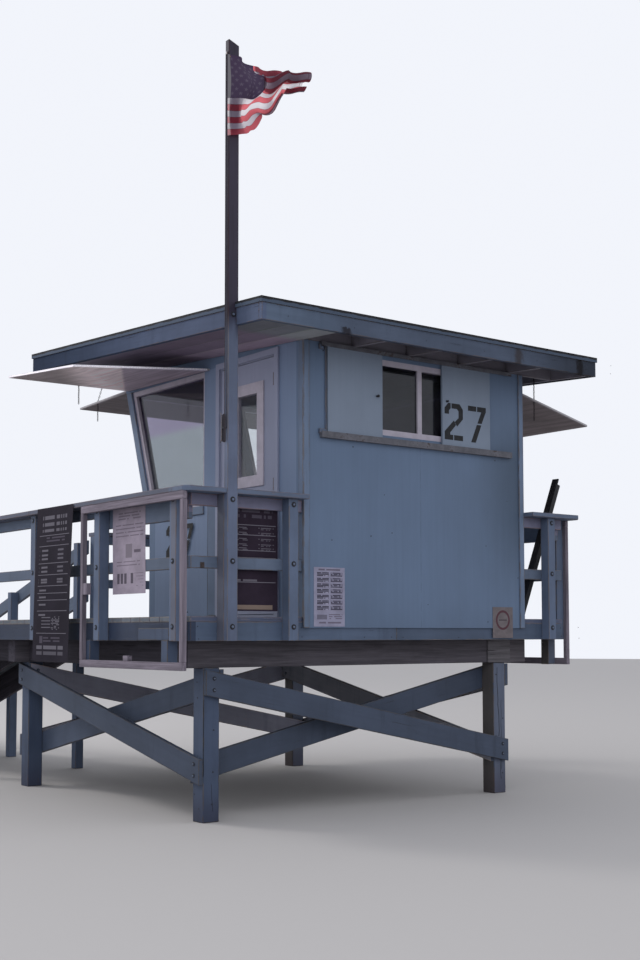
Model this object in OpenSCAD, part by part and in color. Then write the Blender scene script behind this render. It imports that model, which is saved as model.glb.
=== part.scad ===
/* [Deck] */
// Width of the deck, left to right
deck_w = 3870; // [3600:10:4400]
// Depth of the deck, landward edge to ocean edge
deck_d = 4200; // [3900:10:4800]
// Height of the deck surface above the ground
deck_h = 1500; // [1300:10:1800]
// Thickness of a deck board and of every two-by board
board_t = 38; // [32:1:45]
// Height of the joists and of the rim boards
joist_h = 140; // [120:5:190]
// Height of the beams on the legs
beam_h = 197; // [150:1:240]
// Number of joists
joist_n = 9; // [6:1:12]

/* [Legs] */
// Width of a square leg
leg_s = 140; // [120:1:180]
// Left face of the left legs, from the left edge of the deck
leg_x = 227; // [120:1:400]
// Rear face of the rear legs, from the rear edge of the deck
leg_y = 182; // [100:1:300]
// Spacing of the legs from left to right
leg_span_x = 2963; // [2600:1:3200]
// Spacing of the legs from rear to front
leg_span_y = 2940; // [2600:1:3200]
// How far the rear and front beams run past the legs
beam_end = 140; // [60:1:200]
// Width of a brace plank
brace_w = 184; // [140:1:200]
// Depth of the upper brace ends below the beam
brace_top = 105; // [95:1:160]
// Depth of the lower brace ends below the beam
brace_low = 757; // [600:5:800]

/* [Cabin] */
// Width of the walkway left of the cabin
walk_w = 1000; // [900:5:1100]
// Width of the walkway on the right side
walk_r = 506; // [300:1:900]
// Depth of the cabin at its floor
cabin_d = 2312; // [2200:1:2450]
// Thickness of a framed wall
wall_t = 100; // [80:1:140]
// How far the siding laps down over the rim
siding_lap = 80; // [40:1:110]
// Thickness of the siding that laps over the rim
siding_t = 12; // [9:1:18]
// Height of the soffit at the rear edge of the deck
soffit_h = 2130; // [2120:5:2300]
// Height of the top of the low walls under the windows
low_wall_h = 885; // [800:5:950]
// Height of a window sill board
sill_h = 72; // [40:1:90]
// How far the front sill stands out from the front wall
sill_out = 67; // [50:1:100]
// Height of the bottom of the headers over the door and windows
header_h = 2106; // [2090:1:2112]
// How far the front leans out from the sill to the header
front_lean = 378; // [200:1:450]
// Width of a cabin post
post_w = 89; // [70:1:120]
// Width of the white window frames
frame_w = 45; // [30:1:60]
// Depth of the window frames
frame_d = 60; // [40:1:80]
// Thickness of the glass
glass_t = 6; // [4:1:10]
// Setback of the rear window's first pane behind the deck's rear edge
pane_set = 4; // [2:1:10]
// Distance from its first pane back to its second
pane_step = 18; // [12:1:24]
// Setback of the side windows behind the walls' outer faces
side_set = 20; // [5:1:35]
// Setback of the front windows behind the leaning front
front_set = 15; // [5:1:25]
// Width of the corner boards
trim_w = 42; // [30:1:60]
// Thickness of the corner boards
trim_t = 12; // [8:1:20]
// Wall between the door and the left window
pier_w = 220; // [180:1:260]
// Depth of the solid rear part of the right wall
right_pier = 160; // [120:5:500]

/* [Door] */
// Width of the door leaf
leaf_w = 762; // [720:1:800]
// Height of the door leaf
leaf_h = 2032; // [1980:1:2040]
// Thickness of the door leaf
leaf_t = 44; // [35:1:50]
// Gap under the door leaf
leaf_lift = 30; // [24:1:40]
// Gap between the leaf and its frame
leaf_gap = 6; // [5:1:8]
// Rear edge of the door leaf, from the rear edge of the deck
leaf_y = 376; // [350:1:420]
// Width of the door's outside casing
casing_w = 50; // [40:1:70]
// Setback of the casing from the leaf's edge, wide enough for the hinge barrels
reveal = 14; // [12:1:20]
// Thickness of the door's outside casing
casing_t = 18; // [12:1:25]
// Width of the door window's glass
light_w = 302; // [240:1:340]
// Height of the door window's glass
light_h = 662; // [500:1:700]
// Height of the bottom of the door window's glass above the deck
light_z = 1141; // [1080:1:1200]
// Width of the frame round the door window
light_frame = 89; // [60:1:95]
// How far that frame stands out from the leaf
light_out = 12; // [8:1:16]
// Radius of a hinge barrel
barrel_r = 8; // [6:0.5:8]
// Length of a hinge barrel
barrel_l = 100; // [75:5:120]
// Distance of the outer hinges' middles from the ends of the leaf
hinge_in = 180; // [120:5:250]
// Height of the knob above the deck
knob_z = 960; // [850:5:1000]
// Distance of the knob from the leaf's free edge
knob_in = 65; // [60:1:80]
// Radius of the knob
knob_r = 28; // [22:1:30]

/* [Rear window and shutters] */
// Width of the rear window
rear_win_w = 960; // [800:5:1100]
// Height of the bottom of the rear window
rear_win_z = 1459; // [1430:1:1480]
// Height of the rear window
rear_win_h = 609; // [500:1:640]
// Width of a sliding shutter
shutter_w = 550; // [450:1:600]
// Thickness of a sliding shutter
shutter_t = 18; // [12:1:24]
// Inner edge of each shutter from the middle of the wall
shutter_gap_l = 418; // [300:1:450]
// Inner edge of the right shutter from the middle of the wall
shutter_gap_r = 230; // [200:1:450]
// Length of the shutter tracks
track_l = 2065; // [1900:5:2200]
// Height of a shutter track
track_h = 40; // [30:1:50]
// Gap behind a shutter
shutter_gap = 6; // [3:1:10]
// Thickness of the tracks' front lips
lip_t = 11; // [8:1:14]
// Height of the tracks' front lips
lip_h = 10; // [6:1:14]
// How far the shutters reach below the window
shutter_below = 36; // [20:1:50]
// Height of the upper shutter track at the wall
head_h = 24; // [20:1:40]

/* [Awnings] */
// Thickness of an awning panel
awning_t = 18; // [12:1:24]
// Reach of the left awning at its near edge
awning_left_out = 1275; // [1000:5:1300]
// Reach of the left awning at its far edge
awning_left_far = 1199; // [1000:1:1300]
// Reach of the right awning
awning_right_out = 1060; // [900:10:1200]
// Drop of the right awning's hinge below the left one
awning_right_low = 51; // [40:1:80]
// Reach of the front awning
awning_front_out = 924; // [700:1:1000]
// Width of the left awning
awning_left_w = 1380; // [1200:10:1400]
// Width of the right awning
awning_right_w = 2440; // [2200:10:2450]
// Droop of the near corner of the left awning
droop_near = 122; // [60:1:160]
// Droop of the far corner of the left awning
droop_far = 13; // [5:1:60]
// Droop of the front awning
droop_front = 35; // [20:1:80]
// Droop of the right awning
droop_right = 250; // [150:5:280]
// Height of the left awning's near hinge end above the headers' bottom
hinge_up = 10; // [4:1:18]
// Rise of the hinge line from there to the front of the cabin
hinge_rise = 24; // [0:1:60]
// How far the left awning starts before its window
awning_lap = 80; // [40:5:100]
// Radius of a chain
chain_r = 4; // [3:0.5:6]
// Distance of the left chain from the cabin's wall
chain_left_out = 530; // [400:5:650]
// Distance of the right chain from the side edge of the roof
chain_in = 90; // [60:5:120]
// Distance of a chain from the awning's edge
chain_edge = 20; // [15:1:40]
// How far the front chains slant outwards from the roof's front edge
chain_slant = 100; // [60:5:150]
// Length of the loose tail of a chain below its awning
chain_tail = 150; // [80:5:200]
// Half the height of the ring that holds a chain at its awning
ring_h = 14; // [10:1:20]

/* [Roof] */
// Rise of the roof towards the front for each unit of its depth
roof_slope = 0.056; // [0.02:0.002:0.12]
// Overhang of the roof past the cabin's left wall
over_left = 710; // [500:5:760]
// Overhang of the roof past the cabin's right wall
over_right = 460; // [400:5:600]
// Overhang of the roof past the rear edge of the deck
over_rear = 466; // [400:1:600]
// Roof's front edge, from the rear edge of the deck
roof_front = 3258; // [3100:1:3400]
// Thickness of the roof deck with its drip edge
roof_t = 41; // [30:1:50]
// Height of a rafter
rafter_h = 120; // [100:1:140]
// Number of rafters
rafter_n = 7; // [5:1:9]
// How far the fascia reaches below the rafters
fascia_drop = 6; // [0:1:20]
// How far the drip edge stands out from the fascia
drip_out = 10; // [5:1:20]

/* [Railings] */
// Height of the top of the railing cap
rail_h = 923; // [880:1:1000]
// Width of the railing cap
cap_w = 184; // [150:1:200]
// How far the cap stands out past the posts
cap_out = 41; // [38:1:60]
// Height of the railing boards
rail_board_h = 89; // [70:1:100]
// Height of the tall board at the rear end of the side railings
tall_board_h = 184; // [140:1:200]
// Height of the middle rail's bottom edge
mid_z = 345; // [300:1:400]
// Width of a railing post
rail_post = 89; // [80:1:100]
// Spacing of the posts along the side railings
rail_pitch = 1150; // [1000:5:1200]
// Rear face of the first post of a side railing
rail_first = 60; // [40:1:90]
// From the post behind the flagpole to the post beside the cabin
rear_pitch = 580; // [500:5:640]
// Open joint between the ends of two boards or caps
joint = 1; // [0.5:0.5:3]
// Gap left between two surfaces that rest on each other on a slope
seat = 0.3; // [0.1:0.1:1]
// Gap between the end of the rear cap and the cabin
cap_short = 35; // [10:1:60]
// Left face of the posts near the right corners, from the deck's right edge
corner_in = 262; // [150:1:300]
// Cut of the caps' outer corners
cap_chamfer = 45; // [20:5:80]
// Left end of the front railing
front_rail_x = 1440; // [1400:5:1600]

/* [Board racks] */
// Thickness of a rack member
rack_t = 40; // [35:1:41]
// Height of a rack member seen from the side
rack_w = 57; // [45:1:70]
// Length of a rack
rack_l = 1545; // [1400:5:1700]
// Depth of the rack's bottom below the deck surface
rack_low = 385; // [300:5:420]
// How far the right rack's foot lies below the deck
rack_right_low = 401; // [300:1:500]
// Rear end of the left rack
rack_left_y = -95; // [-120:1:0]
// Rear end of the right rack
rack_right_y = 30; // [0:1:80]
// From the end of the first post to the near hanger of a rack
hanger_a = 19; // [5:1:100]
// From the end of the first post to the far hanger of a rack
hanger_b = 1203; // [1000:1:1400]
// Depth of the hangers' tops below the deck
hanger_top = 172; // [100:1:250]
// Length of the ledger beside the near hanger
ledger_l = 440; // [200:10:800]
// Height of the stop blocks above the deck
stop_z = 184; // [100:1:400]
// Length of the stop blocks
stop_l = 70; // [40:5:120]
// Height of the stop blocks
stop_h = 90; // [40:5:120]

/* [Flagpole] */
// Width of the flagpole
pole_w = 89; // [70:1:100]
// Thickness of the flagpole
pole_t = 48; // [38:1:60]
// Left face of the flagpole
pole_x = 222; // [200:1:300]
// Clearance round the pole where it passes the roof
pole_gap = 2; // [1:0.5:10]
// Height of the pole's top above the deck
pole_top = 4235; // [3800:5:4500]
// Greatest thickness of the flag's soft volume
flag_t = 130; // [100:5:160]
// Drop of the flag's upper corner below the pole's top
flag_drop = 120; // [60:5:200]
// Height of the flag at the pole
flag_h = 610; // [450:10:700]
// Reach of the flag from the pole
flag_w = 716; // [650:1:800]
// Slope of the pole's cut top in degrees
pole_cut = 20; // [0:1:30]
// Radius of the halyard
halyard_r = 4; // [3:0.5:6]
// Height of the middle of the halyard's cleat above the deck
cleat_z = 1560; // [1400:10:1700]
// Length of the cleat
cleat_l = 150; // [100:10:200]

/* [Ramp] */
// Slope of the ramp in degrees
ramp_deg = 16.3; // [14:0.1:18]
// Left edge of the ramp
ramp_x = 90; // [60:5:150]
// Width of the ramp
ramp_w = 1210; // [1000:5:1250]
// Height of a ramp stringer
stringer_h = 286; // [230:1:300]
// Height of the ramp's handrail above its surface
hand_h = 870; // [800:5:950]
// Height of a ramp rail board
hand_w = 140; // [100:1:150]
// Height of the ramp's lower rail above its surface
hand_low = 375; // [300:5:450]
// Number of post pairs along the ramp
ramp_posts = 4; // [3:1:5]
// From the deck's edge to the first ramp post
ramp_post_in = 100; // [90:5:150]
// From the last ramp post's upper face to the foot of the ramp
ramp_post_end = 200; // [150:5:300]

/* [Banners and notices] */
// Thickness of a banner
banner_t = 4; // [3:1:6]
// Bottom of the rear banner above the deck
banner_low = 40; // [20:5:80]
// Gap between the rear banner and the posts beside it
banner_gap = 10; // [5:1:20]
// Gap between the rear banner and the cap
banner_top = 20; // [10:1:40]
// Near edge of the tall banner on the left railing
banner_y = 1580; // [1560:10:1650]
// Width of the tall banner
banner_w = 640; // [550:10:700]
// Bottom of the tall banner below the deck
banner_drop = 350; // [250:10:380]
// Thickness of a notice board
notice_t = 4; // [3:1:6]
// Near edge of the notice on the left railing
notice_y = 640; // [600:5:700]
// Width and height of the notice on the left railing
notice_size = [500, 664];
// Left edge of the poster from the cabin's left wall, and its bottom
poster_at = [91, -71];
// Width and height of the poster
poster_size = [300, 454];
// Right edge of the sign from the cabin's right wall, and its bottom
sign_at = [130, -164];
// Width and height of the sign
sign_size = [239, 263];

/* [Leaning channel] */
// Length of the channel that leans on the right railing
channel_l = 1345; // [1000:5:1500]
// Width of the channel
channel_w = 70; // [40:5:100]
// Depth of the channel's flanges
channel_d = 45; // [30:1:60]
// Lean of the channel in degrees
channel_deg = 22; // [10:1:35]

/* [Hidden] */

// Heights, with the deck surface at zero
joist_top = -board_t;
joist_bot = joist_top - joist_h;
beam_bot = joist_bot - beam_h;
ground = -deck_h;
// The cabin's outline
cabin_l = walk_w;
cabin_r = deck_w - walk_r;
cabin_w = cabin_r - cabin_l;
mid_x = (cabin_l + cabin_r) / 2;
sill_top = low_wall_h + sill_h;
sill_y = cabin_d + sill_out;
lean = front_lean / (header_h - sill_top);
slope = roof_slope;
// The roof's outline
roof_l = cabin_l - over_left;
roof_r = cabin_r + over_right;
rafter_bot = soffit_h;
// The door's frame
jamb_t = board_t;
door_y0 = leaf_y - leaf_gap - jamb_t;
door_y1 = leaf_y + leaf_w + leaf_gap + jamb_t;
win_y0 = door_y1 + pier_w;
leaf_top = leaf_lift + leaf_h;
// Railing faces and levels
cap_bot = rail_h - board_t;
cap_edge = rail_post + cap_out;
// The awnings' hinge height and outlines
hinge_z = header_h + hinge_up;
awn_l_out = cabin_l - awning_left_out;
front_hinge = hinge_z + hinge_rise;
awn_r_out = cabin_r + awning_right_out;
hinge_r = hinge_z - awning_right_low;
// The ramp's profile
ramp_s = tan(ramp_deg);
ramp_end = deck_d + deck_h / ramp_s;
// The foot of the leaning channel: its low corner is on the deck and its face against the right cap
channel_z = channel_d * sin(channel_deg) + 0.5;
channel_x = deck_w + cap_edge - cap_w - 0.5 - channel_d * cos(channel_deg) - rail_h * tan(channel_deg);
channel_y = cap_w - cap_edge + 2;
// The origin lies under the middle of the whole outline, on the ground
origin_x = (min(awn_l_out, -cap_edge) + max(awn_r_out, deck_w + cap_edge)) / 2;
origin_y = (-over_rear - drip_out + ramp_end) / 2;

paint = "#7f93a8";
paint_dark = "#56697d";
bare = "#8d8584";
white_paint = "#c9c9d2";

// Outer face of the leaning front at height z
function front_y(z) = sill_y + (z - sill_top) * lean;
// Underside of the rafters at depth y
function soffit_z(y) = rafter_bot + y * slope;

// A block between two corners, given as ranges along x, y and z
module block(x, y, z) {
    translate([x[0], y[0], z[0]]) cube([x[1] - x[0], y[1] - y[0], z[1] - z[0]]);
}

// A side profile in y and z, carried along x
module profile(x, points) {
    translate([x[0], 0, 0])
        rotate([90, 0, 90]) linear_extrude(x[1] - x[0]) polygon(points);
}

// A board between two corner points of its top face's edges, with its thickness below
module panel(a, b, c, d, t) {
    low = [for (p = [a, b, c, d]) p - [0, 0, t]];
    polyhedron(
        points = concat(low, [a, b, c, d]),
        faces = [[0, 1, 2], [0, 2, 3], [4, 6, 5], [4, 7, 6], [0, 4, 5], [0, 5, 1],
                 [1, 5, 6], [1, 6, 2], [2, 6, 7], [2, 7, 3], [3, 7, 4], [3, 4, 0]]);
}

// Moves the tower so that the origin lies on the ground under its middle
module place() {
    translate([-origin_x, -origin_y, deck_h]) children();
}

// Legs and braces

module legs() {
    color(paint)
        for (x = [0, leg_span_x], y = [0, leg_span_y])
            block([leg_x + x, leg_x + x + leg_s], [leg_y + y, leg_y + y + leg_s], [ground, beam_bot]);
}

// A plank that runs across two legs of a side, drawn in x and z, with y as its thickness
module brace_plank(run, flip) {
    z_hi = beam_bot - brace_top;
    z_lo = beam_bot - brace_low;
    ends = flip ? [z_lo, z_hi] : [z_hi, z_lo];
    half = brace_w / 2 * sqrt(1 + pow((z_hi - z_lo) / run, 2));
    rotate([90, 0, 0]) linear_extrude(board_t)
        polygon([[0, ends[0] - half], [run, ends[1] - half], [run, ends[1] + half], [0, ends[0] + half]]);
}

// The pair of crossed planks of one side: one outside the legs, one inside them
module brace_pair(run, flip) {
    brace_plank(run, flip);
    translate([0, leg_s + board_t, 0]) brace_plank(run, !flip);
}

module braces() {
    x1 = leg_x + leg_span_x;
    y1 = leg_y + leg_span_y;
    color(paint) {
        for (y = [leg_y, y1]) translate([leg_x, y, 0]) brace_pair(leg_span_x + leg_s, false);
        for (x = [leg_x, x1])
            translate([x, y1 + leg_s, 0]) rotate([0, 0, -90]) brace_pair(leg_span_y + leg_s, false);
    }
}

// Floor frame

module beams() {
    color("#4d4a4e") {
        for (y = [0, leg_span_y])
            block([leg_x - beam_end, leg_x + leg_span_x + leg_s + beam_end],
                  [leg_y + y, leg_y + y + leg_s], [beam_bot, joist_bot]);
        for (x = [0, leg_span_x]) {
            block([leg_x + x, leg_x + x + leg_s], [leg_y + leg_s, leg_y + leg_span_y], [beam_bot, joist_bot]);
            block([leg_x + x, leg_x + x + leg_s], [leg_y + leg_span_y + leg_s, deck_d - board_t],
                  [beam_bot, joist_bot]);
        }
    }
}

module joists() {
    pitch = (deck_w - 2 * board_t - board_t) / (joist_n + 1);
    color("#5c5a60")
        for (i = [1:joist_n])
            block([board_t + i * pitch, 2 * board_t + i * pitch], [board_t, deck_d - board_t],
                  [joist_bot, joist_top]);
}

module rim_boards() {
    color(paint) difference() {
        block([0, deck_w], [0, deck_d], [joist_bot, joist_top]);
        block([board_t, deck_w - board_t], [board_t, deck_d - board_t], [joist_bot - 1, joist_top + 1]);
    }
}

module deck_boards() {
    color("#6f7c8b") difference() {
        block([0, deck_w], [0, deck_d], [joist_top, 0]);
        block([cabin_l, cabin_r], [-1, cabin_d], [joist_top - 1, 1]);
    }
}

module cabin_floor() {
    color("#77706a") block([cabin_l, cabin_r], [0, cabin_d], [joist_top, 0]);
}

// Walls

module rear_wall() {
    win_x0 = mid_x - rear_win_w / 2;
    y1 = wall_t - siding_t;
    color(paint) difference() {
        profile([cabin_l, cabin_r],
            [[-siding_t, -siding_lap], [0, -siding_lap], [0, 0], [y1, 0],
             [y1, soffit_z(y1)], [-siding_t, soffit_z(-siding_t)]]);
        block([win_x0, win_x0 + rear_win_w], [-siding_t - 1, wall_t], [rear_win_z, rear_win_z + rear_win_h]);
    }
}

module right_wall() {
    y0 = wall_t - siding_t;
    color(paint) profile([cabin_r - wall_t, cabin_r],
        [[y0, 0], [cabin_d - wall_t, 0], [cabin_d - wall_t, low_wall_h], [right_pier, low_wall_h],
         [right_pier, soffit_z(right_pier)], [y0, soffit_z(y0)]]);
}

module wall_beside_door() {
    y0 = wall_t - siding_t;
    color(paint) profile([cabin_l, cabin_l + wall_t],
        [[y0, 0], [door_y0, 0], [door_y0, soffit_z(door_y0)], [y0, soffit_z(y0)]]);
}

module left_wall() {
    color(paint) profile([cabin_l, cabin_l + wall_t],
        [[door_y1, 0], [cabin_d - wall_t, 0], [cabin_d - wall_t, low_wall_h], [win_y0, low_wall_h],
         [win_y0, header_h], [door_y1, header_h]]);
}

module front_wall() {
    color(paint) block([cabin_l, cabin_r], [cabin_d - wall_t, cabin_d], [0, low_wall_h]);
}

// A header along one side wall from depth y0 to the leaning front
module side_header(x0, y0) {
    yf = front_y(header_h);
    profile([x0, x0 + wall_t],
        [[y0, header_h], [yf, header_h], [front_top(), soffit_z(front_top())], [y0, soffit_z(y0)]]);
}

// Where the leaning front meets the soffit
function front_top() =
    (sill_y + (rafter_bot - sill_top) * lean) / (1 - slope * lean);

module wall_header() {
    yf = front_y(header_h);
    color(paint) {
        side_header(cabin_l, door_y0);
        side_header(cabin_r - wall_t, right_pier);
        profile([cabin_l + wall_t, cabin_r - wall_t],
            [[yf - wall_t, header_h], [yf, header_h], [front_top(), soffit_z(front_top())],
             [front_top() - wall_t, soffit_z(front_top() - wall_t)]]);
    }
}

// A post of the leaning front, with its outer face in the front's plane
module leaning_post(x) {
    profile([x, x + post_w],
        [[front_y(sill_top) - post_w, sill_top], [front_y(sill_top), sill_top],
         [front_y(header_h), header_h], [front_y(header_h) - post_w, header_h]]);
}

module corner_posts() {
    color(paint)
        for (x = [cabin_l, mid_x - post_w / 2, cabin_r - post_w]) leaning_post(x);
}

module window_sills() {
    color(paint) difference() {
        block([cabin_l - trim_t, cabin_r + trim_t], [right_pier, sill_y], [low_wall_h, sill_top]);
        block([cabin_l + wall_t, cabin_r - wall_t], [0, cabin_d - wall_t], [low_wall_h - 1, sill_top + 1]);
        block([0, cabin_l + wall_t + 1], [0, win_y0], [low_wall_h - 1, sill_top + 1]);
    }
}

// Two boards round each upright rear corner
module corner_trim() {
    top = soffit_z(-siding_t - trim_t);
    color(paint)
        for (s = [0, 1]) {
            x = s == 0 ? cabin_l : cabin_r;
            m = s == 0 ? 1 : -1;
            x_out = x - m * trim_t;
            x_in = x + m * trim_w;
            block([min(x_out, x_in), max(x_out, x_in)], [-siding_t - trim_t, -siding_t], [-siding_lap, top]);
            block([min(x_out, x), max(x_out, x)], [joint - siding_t, trim_w], [0, top]);
        }
}

// Windows

module rear_frame() {
    x0 = mid_x - rear_win_w / 2;
    z1 = rear_win_z + rear_win_h;
    inner = rear_win_w / 2 - frame_w - frame_w / 2;
    difference() {
        block([x0, x0 + rear_win_w], [-siding_t, frame_d - siding_t], [rear_win_z, z1]);
        for (x = [x0 + frame_w, mid_x + frame_w / 2])
            block([x, x + inner], [-siding_t - 1, frame_d], [rear_win_z + frame_w, z1 - frame_w]);
    }
}

// The rear window's two panes, one behind the other as in a sliding window
module rear_panes() {
    x0 = mid_x - rear_win_w / 2;
    z1 = rear_win_z + rear_win_h;
    inner = rear_win_w / 2 - frame_w - frame_w / 2;
    for (i = [0, 1]) {
        x = i == 0 ? x0 + frame_w : mid_x + frame_w / 2;
        y = pane_set + i * pane_step;
        block([x, x + inner], [y, y + glass_t], [rear_win_z + frame_w, z1 - frame_w]);
    }
}

// Outline in y and z of a side window from depth y0, shrunk by e on every side
function side_outline(y0, e) = [
    [y0 + e, sill_top + e],
    [front_y(sill_top + e) - post_w - e, sill_top + e],
    [front_y(header_h - e) - post_w - e, header_h - e],
    [y0 + e, header_h - e]];

module side_frame(x0, y0) {
    difference() {
        profile([x0, x0 + frame_d], side_outline(y0, 0));
        profile([x0 - 1, x0 + frame_d + 1], side_outline(y0, frame_w));
    }
}

// A sloping slab in the front's plane: u is the depth behind its outer face
module front_slab(x, u, z) {
    profile(x, [[front_y(z[0]) - u[1], z[0]], [front_y(z[0]) - u[0], z[0]],
                [front_y(z[1]) - u[0], z[1]], [front_y(z[1]) - u[1], z[1]]]);
}

// Left and right end of each of the two front windows
front_bays = [[cabin_l + post_w, mid_x - post_w / 2], [mid_x + post_w / 2, cabin_r - post_w]];

module window_frames() {
    color(white_paint) {
        rear_frame();
        side_frame(cabin_l + side_set, win_y0);
        side_frame(cabin_r - side_set - frame_d, right_pier);
        for (b = front_bays)
            difference() {
                front_slab(b, [front_set, front_set + frame_d], [sill_top, header_h]);
                front_slab([b[0] + frame_w, b[1] - frame_w], [front_set - 1, front_set + frame_d + 1],
                           [sill_top + frame_w, header_h - frame_w]);
            }
    }
}

module window_glass() {
    in = (frame_d - glass_t) / 2;
    color("#aab8b4") {
        rear_panes();
        profile([cabin_l + side_set + in, cabin_l + side_set + in + glass_t], side_outline(win_y0, frame_w));
        profile([cabin_r - side_set - in - glass_t, cabin_r - side_set - in],
                side_outline(right_pier, frame_w));
        for (b = front_bays)
            front_slab([b[0] + frame_w, b[1] - frame_w], [front_set + in, front_set + in + glass_t],
                       [sill_top + frame_w, header_h - frame_w]);
    }
}

// Door

module door_frame() {
    g = joint / 2;
    x_in = [cabin_l, cabin_l + wall_t];
    x_stop = [cabin_l + leaf_t + leaf_gap, cabin_l + wall_t];
    x_case = [cabin_l - casing_t, cabin_l - g];
    y0 = leaf_y - leaf_gap;
    y1 = leaf_y + leaf_w + leaf_gap;
    sill = leaf_lift - leaf_gap;
    head = leaf_top + leaf_gap;
    case0 = leaf_y - reveal;
    case1 = leaf_y + leaf_w + reveal;
    case_top = leaf_top + reveal;
    color(paint) {
        // Jambs, head and sill
        block(x_in, [door_y0, y0], [0, header_h]);
        block(x_in, [y1, door_y1], [0, header_h]);
        block(x_in, [y0 + g, y1 - g], [head, header_h]);
        block(x_in, [y0 + g, y1 - g], [0, sill]);
        // Stops
        block(x_stop, [y0 + g, y0 + 2 * leaf_gap], [sill + g, head - g]);
        block(x_stop, [y1 - 2 * leaf_gap, y1 - g], [sill + g, head - g]);
        block(x_stop, [y0 + 2 * leaf_gap + g, y1 - 2 * leaf_gap - g], [head - 2 * leaf_gap, head - g]);
        // Casing
        block(x_case, [case0 - casing_w, case0], [0, case_top]);
        block(x_case, [case1, case1 + casing_w], [0, case_top]);
        block(x_case, [case0 - casing_w, case1 + casing_w], [case_top + g, case_top + casing_w]);
        block(x_case, [case0 + g, case1 - g], [0, sill]);
    }
}

// Middle of the door leaf along y
leaf_mid = leaf_y + leaf_w / 2;

module door_leaf() {
    color(paint) difference() {
        block([cabin_l, cabin_l + leaf_t], [leaf_y, leaf_y + leaf_w], [leaf_lift, leaf_top]);
        block([cabin_l - 1, cabin_l + leaf_t + 1],
              [leaf_mid - light_w / 2 - light_frame / 2, leaf_mid + light_w / 2 + light_frame / 2],
              [light_z - light_frame / 2, light_z + light_h + light_frame / 2]);
    }
}

// A picture frame round the door light with a flange on the outside face
module door_window_frame() {
    color(white_paint) difference() {
        union() {
            block([cabin_l, cabin_l + leaf_t],
                  [leaf_mid - light_w / 2 - light_frame / 2, leaf_mid + light_w / 2 + light_frame / 2],
                  [light_z - light_frame / 2, light_z + light_h + light_frame / 2]);
            block([cabin_l - light_out, cabin_l],
                  [leaf_mid - light_w / 2 - light_frame, leaf_mid + light_w / 2 + light_frame],
                  [light_z - light_frame, light_z + light_h + light_frame]);
        }
        block([cabin_l - light_out - 1, cabin_l + leaf_t + 1],
              [leaf_mid - light_w / 2, leaf_mid + light_w / 2], [light_z, light_z + light_h]);
    }
}

module door_glass() {
    color("#9aa5ad")
        block([cabin_l + leaf_t / 2 - glass_t / 2, cabin_l + leaf_t / 2 + glass_t / 2],
              [leaf_mid - light_w / 2, leaf_mid + light_w / 2], [light_z, light_z + light_h]);
}

// A turned knob on each face of the leaf, drawn as a half section round its own axis
module knob() {
    rotate_extrude($fn = 32)
        polygon([[0, 0], [knob_r + 2, 0], [knob_r + 2, 5], [12, 8], [11, 22], [knob_r - 4, 30],
                 [knob_r, 40], [knob_r - 3, 50], [14, 56], [0, 57]]);
}

module door_knob() {
    y = leaf_y + leaf_w - knob_in;
    z = knob_z;
    color("#8a8578") {
        translate([cabin_l, y, z]) rotate([0, -90, 0]) knob();
        translate([cabin_l + leaf_t, y, z]) rotate([0, 90, 0]) knob();
    }
}

// Axis of the hinge barrels
axis_x = cabin_l - barrel_r;
axis_y = leaf_y - leaf_gap / 2;

module door_hinges() {
    color("#6d7886")
        for (z = [leaf_lift + hinge_in, leaf_lift + leaf_h / 2, leaf_top - hinge_in])
            translate([axis_x, axis_y, z - barrel_l / 2]) cylinder(r = barrel_r, h = barrel_l, $fn = 32);
}

// Sliding shutters

shutter_z = rear_win_z - shutter_below;
shutter_h = soffit_h - head_h - shutter_z;
track_y = -siding_t;

module shutters() {
    color(paint)
        for (x = [mid_x - shutter_gap_l - shutter_w, mid_x + shutter_gap_r])
            block([x, x + shutter_w], [track_y - shutter_gap - shutter_t, track_y - shutter_gap],
                  [shutter_z, shutter_z + shutter_h]);
}

// The tracks: a ledge under the shutters and a strip over them, each with a lip in front
module shutter_tracks() {
    lip_y = track_y - shutter_gap - shutter_t - 1;
    x = [mid_x - track_l / 2, mid_x + track_l / 2];
    top = shutter_z + shutter_h;
    color("#7d7580") {
        block(x, [lip_y - lip_t, track_y], [shutter_z - track_h, shutter_z]);
        block(x, [lip_y - lip_t, lip_y], [shutter_z, shutter_z + lip_h]);
        block(x, [lip_y - lip_t, track_y], [top, soffit_z(lip_y - lip_t)]);
        block(x, [lip_y - lip_t, lip_y], [top - lip_h, top]);
    }
}

// Awnings

awn_l_y0 = win_y0 - awning_lap;
awn_l_y1 = awn_l_y0 + awning_left_w;
awn_f_y0 = front_y(front_hinge);

module awnings() {
    r_y1 = right_pier + awning_right_w;
    f_y1 = awn_f_y0 + awning_front_out;
    far_out = cabin_l - awning_left_far;
    color(bare) {
        panel([awn_l_out, awn_l_y0, hinge_z - droop_near], [cabin_l, awn_l_y0, hinge_z],
              [cabin_l, awn_l_y1, front_hinge], [far_out, awn_l_y1, front_hinge - droop_far], awning_t);
        panel([cabin_l, awn_f_y0, front_hinge], [cabin_r, awn_f_y0, front_hinge],
              [cabin_r, f_y1, front_hinge - droop_front], [cabin_l, f_y1, front_hinge - droop_front], awning_t);
        panel([cabin_r, right_pier, hinge_r], [awn_r_out, right_pier, hinge_r - droop_right],
              [awn_r_out, r_y1, hinge_r - droop_right], [cabin_r, r_y1, hinge_r], awning_t);
    }
}

// A round rod between two points
module rod(a, b, r) {
    d = b - a;
    l = norm(d);
    translate(a) rotate([0, acos(d[2] / l), atan2(d[1], d[0])]) cylinder(r = r, h = l, $fn = 8);
}

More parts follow.
